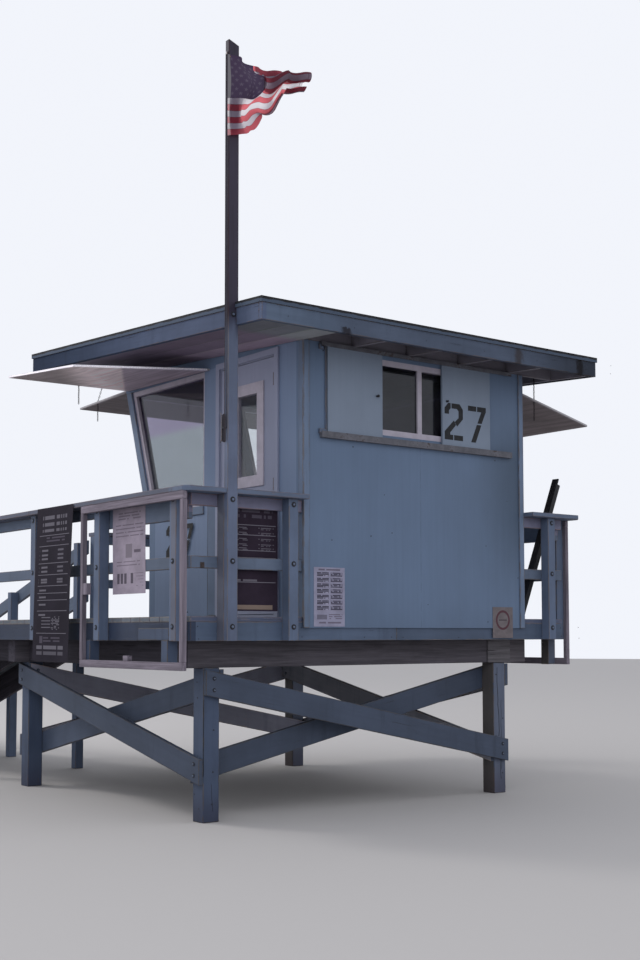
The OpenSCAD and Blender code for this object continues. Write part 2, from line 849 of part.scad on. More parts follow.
// A chain from the roof down to its ring on an awning's top face, and its loose tail below the awning,
// both resting on an awning that slopes by k
module chain(top, ring, k) {
    foot = ring - [0, 0, awning_t + seat + chain_r * k];
    lift = seat + 2 * chain_r * k;
    rod(top, ring + [0, 0, lift + chain_r], chain_r);
    translate(ring + [0, 0, lift]) cylinder(r = 2 * chain_r, h = ring_h, $fn = 12);
    translate(foot - [0, 0, chain_tail]) cylinder(r = chain_r, h = chain_tail, $fn = 8);
}

// Slopes of the awnings: the left one along its far edge and across, the front one and the right one
left_k = droop_far / awning_left_far;
left_twist = (front_hinge - left_k * awning_left_out - (hinge_z - droop_near)) / awning_left_w;
front_k = droop_front / awning_front_out;
right_k = droop_right / awning_right_out;

module awning_chains() {
    xl = cabin_l - chain_left_out;
    xr = roof_r - chain_in;
    yl = awn_l_y1 - chain_edge;
    yr = right_pier + chain_edge;
    yf = roof_front + chain_slant;
    zl = front_hinge - left_k * chain_left_out - left_twist * chain_edge;
    zf = front_hinge - front_k * (yf - awn_f_y0);
    zr = hinge_r - right_k * (xr - cabin_r);
    color("#4a4644") {
        chain([xl, yl, soffit_z(yl) + rafter_h - 1], [xl, yl, zl], left_twist + left_k);
        chain([xr, yr, soffit_z(yr) + rafter_h - 1], [xr, yr, zr], right_k);
        for (x = [cabin_l + chain_edge, cabin_r - chain_edge])
            chain([x, roof_front - board_t / 2, soffit_z(roof_front - board_t / 2) - fascia_drop - 3],
                  [x, yf, zf], front_k);
    }
}

// Roof

// The notch that the flagpole takes out of the roof's edge
module pole_notch() {
    block([pole_x - pole_gap, pole_x + pole_w + pole_gap], [-rail_post - pole_t - pole_gap, -rail_post + pole_gap],
          [soffit_h - leg_s, soffit_h + 4 * leg_s]);
}

module roof_deck() {
    y0 = -over_rear - drip_out;
    y1 = roof_front + drip_out;
    zb = rafter_h;
    color(paint_dark) difference() {
        profile([roof_l - drip_out, roof_r + drip_out],
            [[y0, soffit_z(y0) + zb], [y1, soffit_z(y1) + zb],
             [y1, soffit_z(y1) + zb + roof_t], [y0, soffit_z(y0) + zb + roof_t]]);
        pole_notch();
    }
}

// A slab that follows the roof's slope between depths y0 and y1, from zb to zt above the soffit
module slope_slab(x, y, zb, zt) {
    profile(x, [[y[0], soffit_z(y[0]) + zb], [y[1], soffit_z(y[1]) + zb],
                [y[1], soffit_z(y[1]) + zt], [y[0], soffit_z(y[0]) + zt]]);
}

// Left face of rafter i
function rafter_x(i) =
    roof_l + board_t + i * (roof_r - roof_l - 3 * board_t) / (rafter_n - 1);

module rafters() {
    color("#6a6670")
        for (i = [0:rafter_n - 1])
            slope_slab([rafter_x(i), rafter_x(i) + board_t],
                       [board_t - over_rear + joint / 2, roof_front - board_t - joint / 2],
                       seat, rafter_h - seat);
}

// Blocks between the rafters over the rear wall and over the leaning front
module rafter_blocks() {
    color("#6a6670")
        for (i = [0:rafter_n - 2], y = [-siding_t, front_top() - board_t])
            slope_slab([rafter_x(i) + board_t + joint / 2, rafter_x(i + 1) - joint / 2],
                       [y, y + board_t], seat, rafter_h - seat);
}

module fascia() {
    color(paint_dark) difference() {
        slope_slab([roof_l, roof_r], [-over_rear, roof_front], -fascia_drop, rafter_h - seat);
        slope_slab([roof_l + board_t, roof_r - board_t], [-over_rear + board_t, roof_front - board_t],
                   -fascia_drop - 1, rafter_h + 1);
        pole_notch();
    }
}

// Railings

// Rear end of each post of a side railing
side_posts = concat([for (i = [0:3]) rail_first + i * rail_pitch], [deck_d - rail_post - board_t]);

// Repeats the left side's pieces on the right side
module both_sides() {
    children();
    translate([deck_w, 0, 0]) mirror([1, 0, 0]) children();
}

module railing_posts() {
    z = [joist_bot, cap_bot];
    color(paint) {
        both_sides()
            for (y = side_posts) block([-rail_post, 0], [y, y + rail_post], z);
        for (x = [pole_x, pole_x + rear_pitch, deck_w - corner_in])
            block([x, x + rail_post], [-rail_post, 0], z);
        for (x = [front_rail_x, (front_rail_x + deck_w) / 2, deck_w - corner_in])
            block([x, x + rail_post], [deck_d, deck_d + rail_post], z);
    }
}

// A top and a middle board along x
module rail_boards_x(x, y) {
    block(x, y, [cap_bot - rail_board_h, cap_bot]);
    block(x, y, [mid_z, mid_z + rail_board_h]);
}

module railing_boards() {
    tall_end = rail_first + rail_pitch + rail_post;
    color(paint) {
        both_sides() {
            block([0, board_t], [board_t + joint, tall_end], [cap_bot - tall_board_h, cap_bot]);
            block([0, board_t], [tall_end + joint, deck_d], [cap_bot - rail_board_h, cap_bot]);
            block([0, board_t], [board_t + joint, deck_d], [mid_z, mid_z + rail_board_h]);
        }
        rail_boards_x([0, cabin_l - trim_t], [0, board_t]);
        rail_boards_x([cabin_r + trim_t, deck_w], [0, board_t]);
        rail_boards_x([front_rail_x, deck_w - board_t - joint], [deck_d - board_t, deck_d]);
    }
}

// The slanted cut at the outer corner of a cap that ends at x; s is 1 at a left corner
module corner_cut(x, s) {
    translate([x, -cap_edge, cap_bot - 1]) linear_extrude(board_t + 2)
        polygon([[-s, -1], [s * cap_chamfer, -1], [-s, cap_chamfer]]);
}

module railing_caps() {
    z = [cap_bot, rail_h];
    y_in = cap_w - cap_edge;
    color(paint) {
        difference() {
            block([-cap_edge, cabin_l - cap_short], [-cap_edge, y_in], z);
            block([pole_x - 2, pole_x + pole_w + 2], [-cap_edge - 1, -rail_post], [cap_bot - 1, rail_h + 1]);
            corner_cut(-cap_edge, 1);
        }
        difference() {
            block([cabin_r + trim_t, deck_w + cap_edge], [-cap_edge, y_in], z);
            corner_cut(deck_w + cap_edge, -1);
        }
        both_sides() block([-cap_edge, y_in], [y_in + joint, deck_d + cap_edge], z);
        block([front_rail_x, deck_w - y_in - joint], [deck_d + cap_edge - cap_w, deck_d + cap_edge], z);
    }
}

// A board rack on the outer side of the left railing, with its rear end at y and its foot at low
module rack(y, low, stops) {
    x = [-rail_post - rack_t, -rail_post];
    top = cap_bot;
    post_end = rail_first + rail_post;
    block(x, [y, y + rack_l], [top - rack_w, top]);
    block(x, [y, y + rack_l], [-low, -low + rack_w]);
    for (e = [y, y + rack_l - rack_t]) block(x, [e, e + rack_t], [-low, top]);
    for (e = [post_end + hanger_a, post_end + hanger_b])
        block([-rail_post, 0], [e, e + rail_post], [-low, -hanger_top]);
    block([-rail_post, 0], [post_end + joint, post_end + joint + ledger_l], [-hanger_top, -hanger_top + rail_post]);
    for (e = stops) block(x, [e, e + stop_l], [stop_z, stop_z + stop_h]);
    block(x, [y + rack_l / 2, y + rack_l / 2 + stop_l], [-low + rack_w, -low + rack_w + rack_t]);
}

module board_racks() {
    color("#8b8494") {
        rack(rack_left_y, rack_low, [rack_left_y + rack_l - rack_t - stop_l]);
        translate([deck_w, 0, 0]) mirror([1, 0, 0]) rack(rack_right_y, rack_right_low,
            [rack_right_y + rack_t, rack_right_y + rack_l - rack_t - stop_l]);
    }
}

// Flagpole and flag

module flagpole() {
    y = -rail_post - pole_t;
    color(paint) difference() {
        block([pole_x, pole_x + pole_w], [y, -rail_post], [joist_bot, pole_top]);
        translate([pole_x - 1, y - 1, pole_top]) rotate([0, pole_cut, 0]) cube([pole_w * 2, pole_t * 2, 60]);
    }
}

// The line down the pole's left side, from an eye near its top to its cleat
module halyard() {
    x = pole_x - halyard_r;
    y = -rail_post - pole_t / 2;
    top = pole_top - flag_drop;
    z = cleat_z - cleat_l / 2;
    color("#3c3a40") {
        translate([x, y, z + 10]) cylinder(r = halyard_r, h = top - z, $fn = 8);
        translate([pole_x - 5 * halyard_r, y, top]) rotate([0, 90, 0])
            cylinder(r = 2 * halyard_r, h = 5 * halyard_r, $fn = 12);
        profile([pole_x - 24, pole_x - 12],
            [[y - 7, z + 20], [y - 4, z], [y + 4, z], [y + 7, z + 20], [y + 7, z + cleat_l - 20],
             [y + 4, z + cleat_l], [y - 4, z + cleat_l], [y - 7, z + cleat_l - 20]]);
        block([pole_x - 12, pole_x], [y - 7, y + 7], [cleat_z - 20, cleat_z + 20]);
    }
}

// Sections of the flag, which blows round the pole's corner and along the cabin. Each has its share of the
// reach, how far its far face lies behind the pole's rear face as a share of the reach, its share of the
// thickness, and the shares of the height for its top and its foot
flag_sections = [[0, 0, 0.1, 0, 1], [0.127, 0, 0.2, -0.015, 0.98], [0.41, 0.156, 0.7, -0.09, 0.8],
    [0.58, 0.191, 0.9, -0.105, 0.51], [0.75, 0.128, 1, -0.095, 0.27], [1, 0.073, 1, -0.05, 0.15]];

module flag_section(s) {
    x = pole_x + 4 + s[0] * flag_w;
    y = -rail_post - pole_t + s[1] * flag_w;
    top = pole_top - flag_drop;
    block([x, x + 1], [y - s[2] * flag_t, y], [top - s[4] * flag_h, top - s[3] * flag_h]);
}

module flag() {
    color("#a05a5f") for (i = [0:len(flag_sections) - 2]) hull() {
        flag_section(flag_sections[i]);
        flag_section(flag_sections[i + 1]);
    }
}

// Ramp

// A band that follows the ramp: z0 and z1 are its lower and upper heights above the ramp's surface
module ramp_band(x, z0, z1, y_start) {
    y_lo = deck_d + (deck_h + z0) / ramp_s;
    y_hi = deck_d + (deck_h + z1) / ramp_s;
    profile(x, z1 <= 0
        ? [[y_start, z0 - (y_start - deck_d) * ramp_s], [y_lo, ground], [y_hi, ground],
           [y_start, z1 - (y_start - deck_d) * ramp_s]]
        : [[y_start, z0 - (y_start - deck_d) * ramp_s], [ramp_end, z0 + ground], [ramp_end, z1 + ground],
           [y_start, z1 - (y_start - deck_d) * ramp_s]]);
}

ramp_r = ramp_x + ramp_w;

module ramp_stringers() {
    color("#5a3f3e")
        for (x = [ramp_x, (ramp_x + ramp_r - board_t) / 2, ramp_r - board_t])
            ramp_band([x, x + board_t], -board_t - stringer_h, -board_t, deck_d);
}

module ramp_deck() {
    color("#6f7c8b") ramp_band([ramp_x, ramp_r], -board_t, 0, deck_d);
}

module ramp_posts() {
    run = ramp_end - deck_d;
    pitch = (run - ramp_post_in - ramp_post_end) / (ramp_posts - 1);
    color(paint)
        for (x = [ramp_x - rail_post, ramp_r], i = [0:ramp_posts - 1]) {
            y = deck_d + ramp_post_in + i * pitch;
            block([x, x + rail_post], [y, y + rail_post], [ground, hand_h - (y + rail_post - deck_d) * ramp_s]);
        }
}

module ramp_rails() {
    color(paint)
        for (x = [ramp_x - rail_post - board_t, ramp_r + rail_post], z = [hand_h, hand_low])
            ramp_band([x, x + board_t], z - hand_w, z, deck_d + rail_post);
}

// Banners, notices and the leaning channel

module banners() {
    color("#2e2a33") {
        block([pole_x + rail_post + banner_gap, pole_x + rear_pitch - banner_gap],
              [board_t, board_t + banner_t], [banner_low, cap_bot - banner_top]);
        block([-cap_edge - banner_t, -cap_edge], [banner_y, banner_y + banner_w], [-banner_drop, rail_h]);
    }
}

module notices() {
    color("#c8c8cc") {
        block([-notice_t, 0], [notice_y, notice_y + notice_size[0]],
              [cap_bot - 40 - notice_size[1], cap_bot - 40]);
        block([cabin_l + poster_at[0], cabin_l + poster_at[0] + poster_size[0]],
              [-siding_t - notice_t, -siding_t], [poster_at[1], poster_at[1] + poster_size[1]]);
        block([cabin_r - sign_at[0] - sign_size[0], cabin_r - sign_at[0]],
              [-siding_t - notice_t, -siding_t], [sign_at[1], sign_at[1] + sign_size[1]]);
    }
}

module leaning_channel() {
    color("#26262c") translate([channel_x, channel_y, channel_z]) rotate([0, channel_deg, 0]) {
        block([0, 12], [0, channel_w], [0, channel_l]);
        block([0, channel_d], [0, 6], [0, channel_l - 50]);
        block([0, channel_d], [channel_w - 6, channel_w], [0, channel_l]);
    }
}

place() legs();
place() braces();
place() beams();
place() joists();
place() rim_boards();
place() deck_boards();
place() cabin_floor();
place() rear_wall();
place() right_wall();
place() wall_beside_door();
place() left_wall();
place() front_wall();
place() wall_header();
place() corner_posts();
place() window_sills();
place() corner_trim();
place() window_frames();
place() window_glass();
place() door_frame();
place() door_leaf();
place() door_window_frame();
place() door_glass();
place() door_knob();
place() door_hinges();
place() shutters();
place() shutter_tracks();
place() awnings();
place() awning_chains();
place() roof_deck();
place() rafters();
place() rafter_blocks();
place() fascia();
place() railing_posts();
place() railing_boards();
place() railing_caps();
place() board_racks();
place() flagpole();
place() halyard();
place() flag();
place() ramp_stringers();
place() ramp_deck();
place() ramp_posts();
place() ramp_rails();
place() banners();
place() notices();
place() leaning_channel();
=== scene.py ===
import math
import random
import re

import bpy
from mathutils import Matrix, Vector


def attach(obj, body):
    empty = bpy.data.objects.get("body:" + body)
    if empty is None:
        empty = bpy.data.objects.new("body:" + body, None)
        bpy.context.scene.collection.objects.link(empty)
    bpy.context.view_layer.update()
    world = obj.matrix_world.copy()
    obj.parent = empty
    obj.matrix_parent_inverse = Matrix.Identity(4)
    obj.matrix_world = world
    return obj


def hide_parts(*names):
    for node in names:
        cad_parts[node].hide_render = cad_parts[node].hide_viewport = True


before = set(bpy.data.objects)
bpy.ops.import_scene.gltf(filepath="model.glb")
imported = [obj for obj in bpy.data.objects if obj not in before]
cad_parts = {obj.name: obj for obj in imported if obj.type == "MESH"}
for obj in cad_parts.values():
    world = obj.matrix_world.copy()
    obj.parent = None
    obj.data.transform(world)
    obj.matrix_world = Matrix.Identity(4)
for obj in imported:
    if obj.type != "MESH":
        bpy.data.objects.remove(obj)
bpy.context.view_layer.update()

# Sizes of the tower in millimetres, with x = 0 at the left rim, y = 0 at the rear rim and z = 0 on the deck
DECK_W, DECK_D, DECK_H = 3870, 4200, 1500
BOARD, JOIST, BEAM, LEG = 38, 140, 197, 140
POST, CAP_W, RAIL_H = 89, 184, 923
CAP_BOT, CAP_EDGE = RAIL_H - BOARD, POST + 41
CABIN_L, CABIN_R, CABIN_D = 1000, 3364, 2312
MID_X = (CABIN_L + CABIN_R) / 2
TRIM_T, TRIM_Y, SHUT_Y = 12, -12, -36
LEFT_WINDOW, RIGHT_WINDOW = 1402, 160
SILL_BOT, SILL_TOP, HEADER = 885, 957, 2106
FRONT_Y, LEAN = 2379, 378
ROOF_Z, ROOF_K = 2130, 0.056
ROOF_L, ROOF_R, ROOF_Y0, ROOF_Y1 = 290, 3824, -466, 3258
RAMP_ANGLE = 16.3
RAMP_S = math.tan(math.radians(RAMP_ANGLE))
RAMP_END = DECK_D + DECK_H / RAMP_S
GROUND, JOIST_BOT = -DECK_H, -BOARD - JOIST
BEAM_BOT = JOIST_BOT - BEAM
OX, OY = 2074.5, (-476 + RAMP_END) / 2


def at(x, y, z):
    """A point of the tower's own millimetres, in the frame's metres."""
    return Vector(((x - OX) / 1000, (y - OY) / 1000, (z + DECK_H) / 1000))


def soffit(y):
    return ROOF_Z + y * ROOF_K


def front_y(z):
    return FRONT_Y + (z - SILL_TOP) * LEAN / (HEADER - SILL_TOP)


def ramp_z(y):
    return -(y - DECK_D) * RAMP_S


# Materials

def operation(name, swapped=False):
    """A method that adds a math node between a value and another value or a number."""
    def method(value, other=0):
        return value.graph.math(name, *((other, value) if swapped else (value, other)))
    return method


class Value:
    """An output in a material's graph. Sums, products and comparisons of such values add math nodes."""

    def __init__(self, graph, socket):
        self.graph, self.socket = graph, socket

    __add__, __sub__, __mul__ = operation("ADD"), operation("SUBTRACT"), operation("MULTIPLY")
    __radd__, __rsub__, __rmul__ = (operation(name, True) for name in ("ADD", "SUBTRACT", "MULTIPLY"))
    __lt__, __gt__, __abs__ = operation("LESS_THAN"), operation("GREATER_THAN"), operation("ABSOLUTE")


class Graph:
    """The nodes of one material. Most methods add one step and return its output."""

    def __init__(self, name):
        self.mat = bpy.data.materials.new(name)
        self.mat.use_nodes = True
        self.tree = self.mat.node_tree
        self.tree.nodes.clear()
        self.out = self.node("OutputMaterial")
        self.place = Value(self, self.node("TexCoord").outputs["Object"])

    def node(self, kind, **props):
        n = self.tree.nodes.new("ShaderNode" + kind)
        for key, value in props.items():
            setattr(n, key, value)
        return n

    def put(self, socket, value):
        if isinstance(value, Value):
            self.tree.links.new(value.socket, socket)
        elif isinstance(value, (tuple, list)) and len(value) == 3 and socket.type == "RGBA":
            socket.default_value = (*value, 1)
        else:
            socket.default_value = value

    def fill(self, kind, inputs, output=0, **props):
        """A node with its inputs, given by name or number."""
        n = self.node(kind, **props)
        for key, value in inputs.items():
            self.put(n.inputs[key], value)
        return Value(self, n.outputs[output])

    def math(self, op, a, b=0, clamp=False):
        return self.fill("Math", {0: a, 1: b}, operation=op, use_clamp=clamp)

    def vec(self, op, a, b=(0, 0, 0)):
        return self.fill("VectorMath", {0: a, 1: b}, operation=op)

    def xyz(self, v):
        n = self.node("SeparateXYZ")
        self.put(n.inputs[0], v)
        return [Value(self, socket) for socket in n.outputs]

    def facing(self):
        return self.xyz(self.fill("NewGeometry", {}, "Normal"))

    def join(self, x, y, z):
        return self.fill("CombineXYZ", {0: x, 1: y, 2: z})

    def noise(self, v, size, detail=3, rough=0.5, bend=0):
        size = size if isinstance(size, tuple) else (size,) * 3
        return self.fill("TexNoise", {"Vector": self.vec("MULTIPLY", v, size), "Scale": 1, "Detail": detail,
                                      "Roughness": rough, "Distortion": bend})

    def step(self, v, lo, hi, a=0, b=1):
        return self.fill("MapRange", {0: v, 1: lo, 2: hi, 3: a, 4: b}, interpolation_type="SMOOTHSTEP")

    def mix(self, f, a, b, blend="MIX"):
        return self.fill("MixRGB", {0: f, 1: a, 2: b}, blend_type=blend)

    def tint(self, base, factors):
        return self.mix(1, base, factors, "MULTIPLY")

    def attr(self, name):
        return self.fill("Attribute", {}, "Vector", attribute_name=name)

    def bump(self, height, strength, distance):
        return self.fill("Bump", {"Strength": strength, "Distance": distance, "Height": height})

    def principled(self, color, rough, spec, metal=0, **more):
        return self.fill("BsdfPrincipled", {"Base Color": color, "Roughness": rough, "Metallic": metal,
                                            "Specular IOR Level": spec, **more})

    def blend(self, amount, first, second):
        return self.fill("MixShader", {0: amount, 1: first, 2: second})

    def done(self, shader):
        self.put(self.out.inputs[0], shader)
        return self.mat

    def shader(self, color, rough, normal, spec, metal=0):
        return self.done(self.principled(color, rough, spec, metal, Normal=normal))


def shade(color, factor):
    return [min(1, c * factor) for c in color]


def board_inputs(g, spread=0):
    """Place with a shift for each board, a factor for its own tone, and the distance to its nearest edge."""
    loc, half, tone = g.attr("loc"), g.attr("half"), g.attr("tone")
    moved = g.vec("ADD", loc, g.vec("MULTIPLY", tone, (37, 19, 53)))
    a, b, c = g.xyz(g.vec("SUBTRACT", half, g.vec("ABSOLUTE", loc)))
    lo, hi = g.math("MINIMUM", a, b), g.math("MAXIMUM", a, b)
    light = 1 - spread + g.xyz(tone)[0] * (2 * spread)
    return moved, g.join(light, light, light), g.math("MAXIMUM", lo, g.math("MINIMUM", hi, c))


def painted_light_and_tints(g, base, where):
    """Painted light and shade, and a few tints, as parts of a paint made darker or lighter. where holds
    (conditions, factors per colour). A condition limits the place or the way the face looks, as x<-1 or
    nz>0.4, or changes slowly over a range, as z:3.1:3.2."""
    parts = dict(zip(("x", "y", "z", "nx", "ny", "nz"), g.xyz(g.place) + g.facing()))
    for conditions, factors in where:
        sides = []
        for condition in conditions.split():
            axis, sign, limit = re.match(r"(\w+)([<>:])(.+)", condition).groups()
            if sign == ":":
                sides.append(g.step(parts[axis], *[float(v) for v in limit.split(":")]))
            else:
                sides.append(parts[axis] > float(limit) if sign == ">" else parts[axis] < float(limit))
        base = g.mix(math.prod(sides[1:], start=sides[0]), base, g.tint(base, factors))
    return base


def board_paint(name, paint, bare=(0.17, 0.155, 0.16), wear=0.5, dirt=0.5, spread=0.12, rough=0.62, gloss=0.3,
                painted_shade_top=None, marks=(), where=()):
    """Paint on single boards: grain along each board, worn edges, flakes, stains and a tone of its own.
    The height range for the top's painted shade, in metres above the ground, is where the paint turns dark
    and grey-violet.
    marks are runs of rust or grime at the rear: x in metres of the frame, half width, lowest and highest z,
    colour and strength."""
    g = Graph(name)
    moved, light, edge = board_inputs(g, spread)
    fine = g.noise(moved, (5, 170, 170), 4, 0.6)
    grain = g.noise(moved, (1.6, 30, 30), 3, 0.55, 0.4)
    stain = g.noise(g.place, (9, 9, 1.1), 4, 0.6)
    base = g.mix(g.step(g.noise(g.place, 2.3, 4, 0.6), 0.3, 0.7), shade(paint, 0.86), shade(paint, 1.1))
    base = g.tint(g.mix(g.step(grain, 0.35, 0.75) * 0.35, base, shade(paint, 0.74)), light)
    # Worn edges and flakes down to the wood
    worn = g.step(edge, 0, 0.012, 1, 0) * 0.34 + g.noise(moved, (9, 46, 46), 5, 0.65)
    worn = g.step(worn, 0.8 - 0.16 * wear, 0.84 - 0.16 * wear)
    base = g.mix(worn * 0.85, base, g.mix(g.step(fine, 0.3, 0.7), shade(bare, 0.6), bare))
    # Cracks along the grain and stains that run down
    crack = g.step(g.noise(moved, (2.2, 95, 95), 3, 0.5), 0.685, 0.73)
    base = g.mix(crack * 0.5, base, (0.035, 0.034, 0.038))
    base = g.mix(g.step(stain, 0.52, 0.8) * (dirt * 0.75), base, shade(paint, 0.45))
    x, y, z = g.xyz(g.place)
    for mark_x, wide, lo, hi, color, strength in marks:
        ragged = (g.noise(g.place, (14, 14, 9), 5, 0.68) - 0.5) * 0.16
        far, high = abs(x - mark_x) + ragged, abs(z - (lo + hi) / 2) + ragged
        there = g.step(far, wide * 0.3, wide * 1.2, 1, 0) * (y < -4.85)
        there = there * g.step(high, (hi - lo) * 0.35, (hi - lo) * 0.6, 1, 0)
        base = g.mix(there * strength, base, color)
    base = painted_light_and_tints(g, base, where)
    # Painted shade: over a height range the paint turns dark and grey-violet
    if painted_shade_top:
        base = g.mix(g.step(z + stain * 0.3, *painted_shade_top), base, g.tint(base, (0.3, 0.2, 0.23)))
    height = fine * 0.35 + (grain * 0.3 - (worn * 0.45 + crack * 0.9))
    return g.shader(base, rough + worn * 0.22, g.bump(height, 0.55, 0.0025), gloss)


def bare_wood(name, pale, deep, stain, where=()):
    """Unpainted boards: grain, dark cracks, stains and a tone of its own for each."""
    g = Graph(name)
    moved, light, _ = board_inputs(g, 0.16)
    fine = g.noise(moved, (4, 210, 210), 4, 0.62)
    grain = g.noise(moved, (1.3, 26, 26), 4, 0.6, 0.9)
    cloud = g.noise(g.place, 3, 4, 0.62)
    base = g.mix(g.step(grain, 0.28, 0.72), deep, pale)
    base = g.mix(g.step(fine, 0.4, 0.75) * 0.45, base, shade(deep, 0.5))
    base = g.tint(g.mix(g.step(cloud, 0.45, 0.75) * stain, base, shade(deep, 0.6)), light)
    crack = g.step(g.noise(moved, (1.8, 80, 80), 3, 0.5), 0.67, 0.71)
    base = painted_light_and_tints(g, g.mix(crack * 0.8, base, (0.012, 0.011, 0.012)), where)
    return g.shader(base, 0.85, g.bump(fine * 0.6 + grain * 0.5 - crack, 0.6, 0.003), 0.2)


def panel_paint(name, paint, streak=0.5, seam=None, nails=True, low=None, where=()):
    """Paint on plywood panels that keep their CAD mesh. seam is the x of a joint between two panels, and
    low the height above the ground below which the paint turns darker, fading out 0.45 m higher."""
    g = Graph(name)
    x, y, z = g.xyz(g.place)
    flat = g.join(x + y * 1.37, 0, z)
    cloud = g.noise(g.place, (1.4, 1.4, 0.9), 4, 0.6)
    lines = g.noise(flat, (26, 1, 0.8), 3, 0.6)
    thin = g.noise(flat, (150, 1, 1.6), 3, 0.6)
    base = g.mix(g.step(cloud, 0.25, 0.75), shade(paint, 0.9), shade(paint, 1.08))
    base = g.mix(g.step(lines, 0.35, 0.75) * (streak * 0.5), base, shade(paint, 0.78))
    base = g.mix(g.step(thin, 0.55, 0.8) * (streak * 0.45), base, shade(paint, 1.25))
    height = thin * 0.25
    if nails:
        spots = {"Vector": g.vec("MULTIPLY", flat, (2.1, 1, 1.7)), "Scale": 1}
        spot = g.step(g.fill("TexVoronoi", spots, feature="F1"), 0.006, 0.014, 1, 0)
        base = g.mix(spot * 0.75, base, (0.03, 0.025, 0.028))
    if seam is not None:
        broken = g.step(g.noise(flat, (3, 1, 7), 3, 0.6), 0.35, 0.6)
        line = g.step(abs(x - seam), 0.0012, 0.003, 1, 0) * broken
        base = g.mix(line * 0.55, base, shade(paint, 0.4))
        height = height - line
    if low is not None:
        foot = g.step(z + cloud * 0.25, low, low + 0.45, 1, 0)
        base = g.mix(foot * 0.35, base, shade(paint, 0.7))
    return g.shader(painted_light_and_tints(g, base, where), 0.55 + cloud * 0.12, g.bump(height, 0.35, 0.002), 0.35)


def plain(name, color, rough=0.6, metal=0, vary=0.2, size=12, second=None, spots=0):
    """Small parts: a worn coat with mottling, and a second colour such as rust in patches."""
    g = Graph(name)
    a, b = g.noise(g.place, size, 5, 0.65), g.noise(g.place, size * 4.3, 4, 0.6)
    base = g.mix(g.step(a, 0.25, 0.75), shade(color, 1 - vary), shade(color, 1 + vary))
    if second:
        base = g.mix(g.step(a * 0.6 + b * 0.4, 0.62 - 0.3 * spots, 0.68 - 0.3 * spots), base, second)
    return g.shader(base, rough - 0.08 + b * 0.16, g.bump(b, 0.35, 0.0015), 0.4, metal)


def glass(name, tint, where=()):
    """Thin glass with a tinted film and a little dust. A tint counts at both faces of a pane; where makes it
    darker in places, partly as painted shade.
    """
    g = Graph(name)
    clear = g.fill("BsdfTransparent", {0: painted_light_and_tints(g, tint, where)})
    dust = g.principled((0.36, 0.38, 0.41), 0.35, 0.6)
    mirror = g.fill("BsdfGlossy", {"Roughness": 0.06, "Color": (0.9, 0.93, 0.96)})
    smear = g.step(g.noise(g.place, (20, 20, 3), 4, 0.6), 0.5, 0.8)
    cloud = g.step(g.noise(g.place, (2.2, 2.2, 3.5), 5, 0.6), 0.2, 0.8)
    amount = g.math("MULTIPLY", cloud + smear * 0.5, 0.04, clamp=True)
    edgewise = g.fill("LayerWeight", {"Blend": 0.5}, "Facing")
    return g.done(g.blend(amount, g.blend(0.04 + g.math("POWER", edgewise, 5) * 0.9, clear, mirror), dust))


# Colours, as linear reflectance
BLUE, BLUE_DARK, GRIME = (0.112, 0.163, 0.255), (0.095, 0.13, 0.195), (0.022, 0.02, 0.024)

# Painted shade on the posts' lower ends below the deck, except at the front. At the rear left corner their
# left faces are browner
mat_post = board_paint("painted_posts", (0.098, 0.13, 0.202), wear=0.55, where=(
    ("x<-1.7 y<-4.3 nx<-0.5", (1.05, 0.86, 0.75)), ("y<-1.5 z<1.32", (0.42, 0.36, 0.34))))
# The pole's top is dark and grey-violet, a painted shade
mat_pole = board_paint("painted_pole", (0.112, 0.138, 0.212), wear=0.6, painted_shade_top=(3.66, 3.84))
# Painted light on the upper rear rails under the caps
mat_rail = board_paint("painted_rails", (0.098, 0.128, 0.188), wear=0.6, dirt=0.45, where=(
    ("y<-4.2 z>2.25", (1.75, 1.35, 1.35)),))
# The rear caps are lighter and bluer, a painted light
mat_cap = board_paint("painted_caps", (0.1, 0.112, 0.16), (0.15, 0.125, 0.145), 0.95, 0.3, where=(
    ("y<-4.33", (1.08, 1.25, 1.32)),))
# Painted shade on the legs near the ground, and painted light on the right legs' rear and left faces
mat_leg = board_paint("painted_legs", (0.052, 0.073, 0.124), (0.11, 0.1, 0.1), 0.75, 0.8, 0.08, where=(
    ("z:0.3:0.03", (0.62, 0.56, 0.6)), ("x>1 ny<-0.8", (2, 1.7, 1.45)), ("x>1 nx<-0.8", (1.6, 1.05, 0.62))))
# Painted light on the front braces' rear faces and on the right braces' left faces
mat_brace = board_paint("painted_braces", (0.053, 0.07, 0.11), (0.09, 0.085, 0.09), 0.7, 0.7, where=(
    ("y>-1.35 ny<-0.8", (6, 4.6, 3.7)), ("x>1.05 nx<-0.8", (4.6, 3.6, 2.7))))
# The left rim is darker, a painted shade
mat_rim = board_paint("painted_rim", (0.07, 0.098, 0.155), wear=0.6, dirt=0.6, where=(
    ("x<-2.03", (0.42, 0.43, 0.5)),))
mat_deck = board_paint("painted_deck", (0.13, 0.15, 0.18), (0.24, 0.22, 0.21), 1.3, 0.6, rough=0.72, where=(
    ("ny<-0.5", (0.66, 0.7, 0.95)),))
# Painted shade on the left fascia, stronger towards its front, and on the rear fascia towards its right end.
# The marks are rust and grime
mat_fascia = board_paint("painted_fascia", (0.088, 0.116, 0.168), wear=0.4, dirt=0.6, rough=0.75, gloss=0.06,
                         marks=((0.796, 0.05, 3.56, 3.76, (0.05, 0.042, 0.04), 0.75),
                                (1.548, 0.05, 3.53, 3.76, (0.024, 0.021, 0.023), 0.8),
                                (-1.02, 0.05, 3.585, 3.64, GRIME, 0.85)),
                         where=(("x<-1.746", (0.9, 0.87, 0.96)), ("x<-1.746 y:-4.2:-1.2", (0.24, 0.31, 0.38)),
                                ("x:-1.3:-0.9", (0.84, 0.8, 0.8)), ("x:0.5:1.75", (0.43, 0.41, 0.39))))
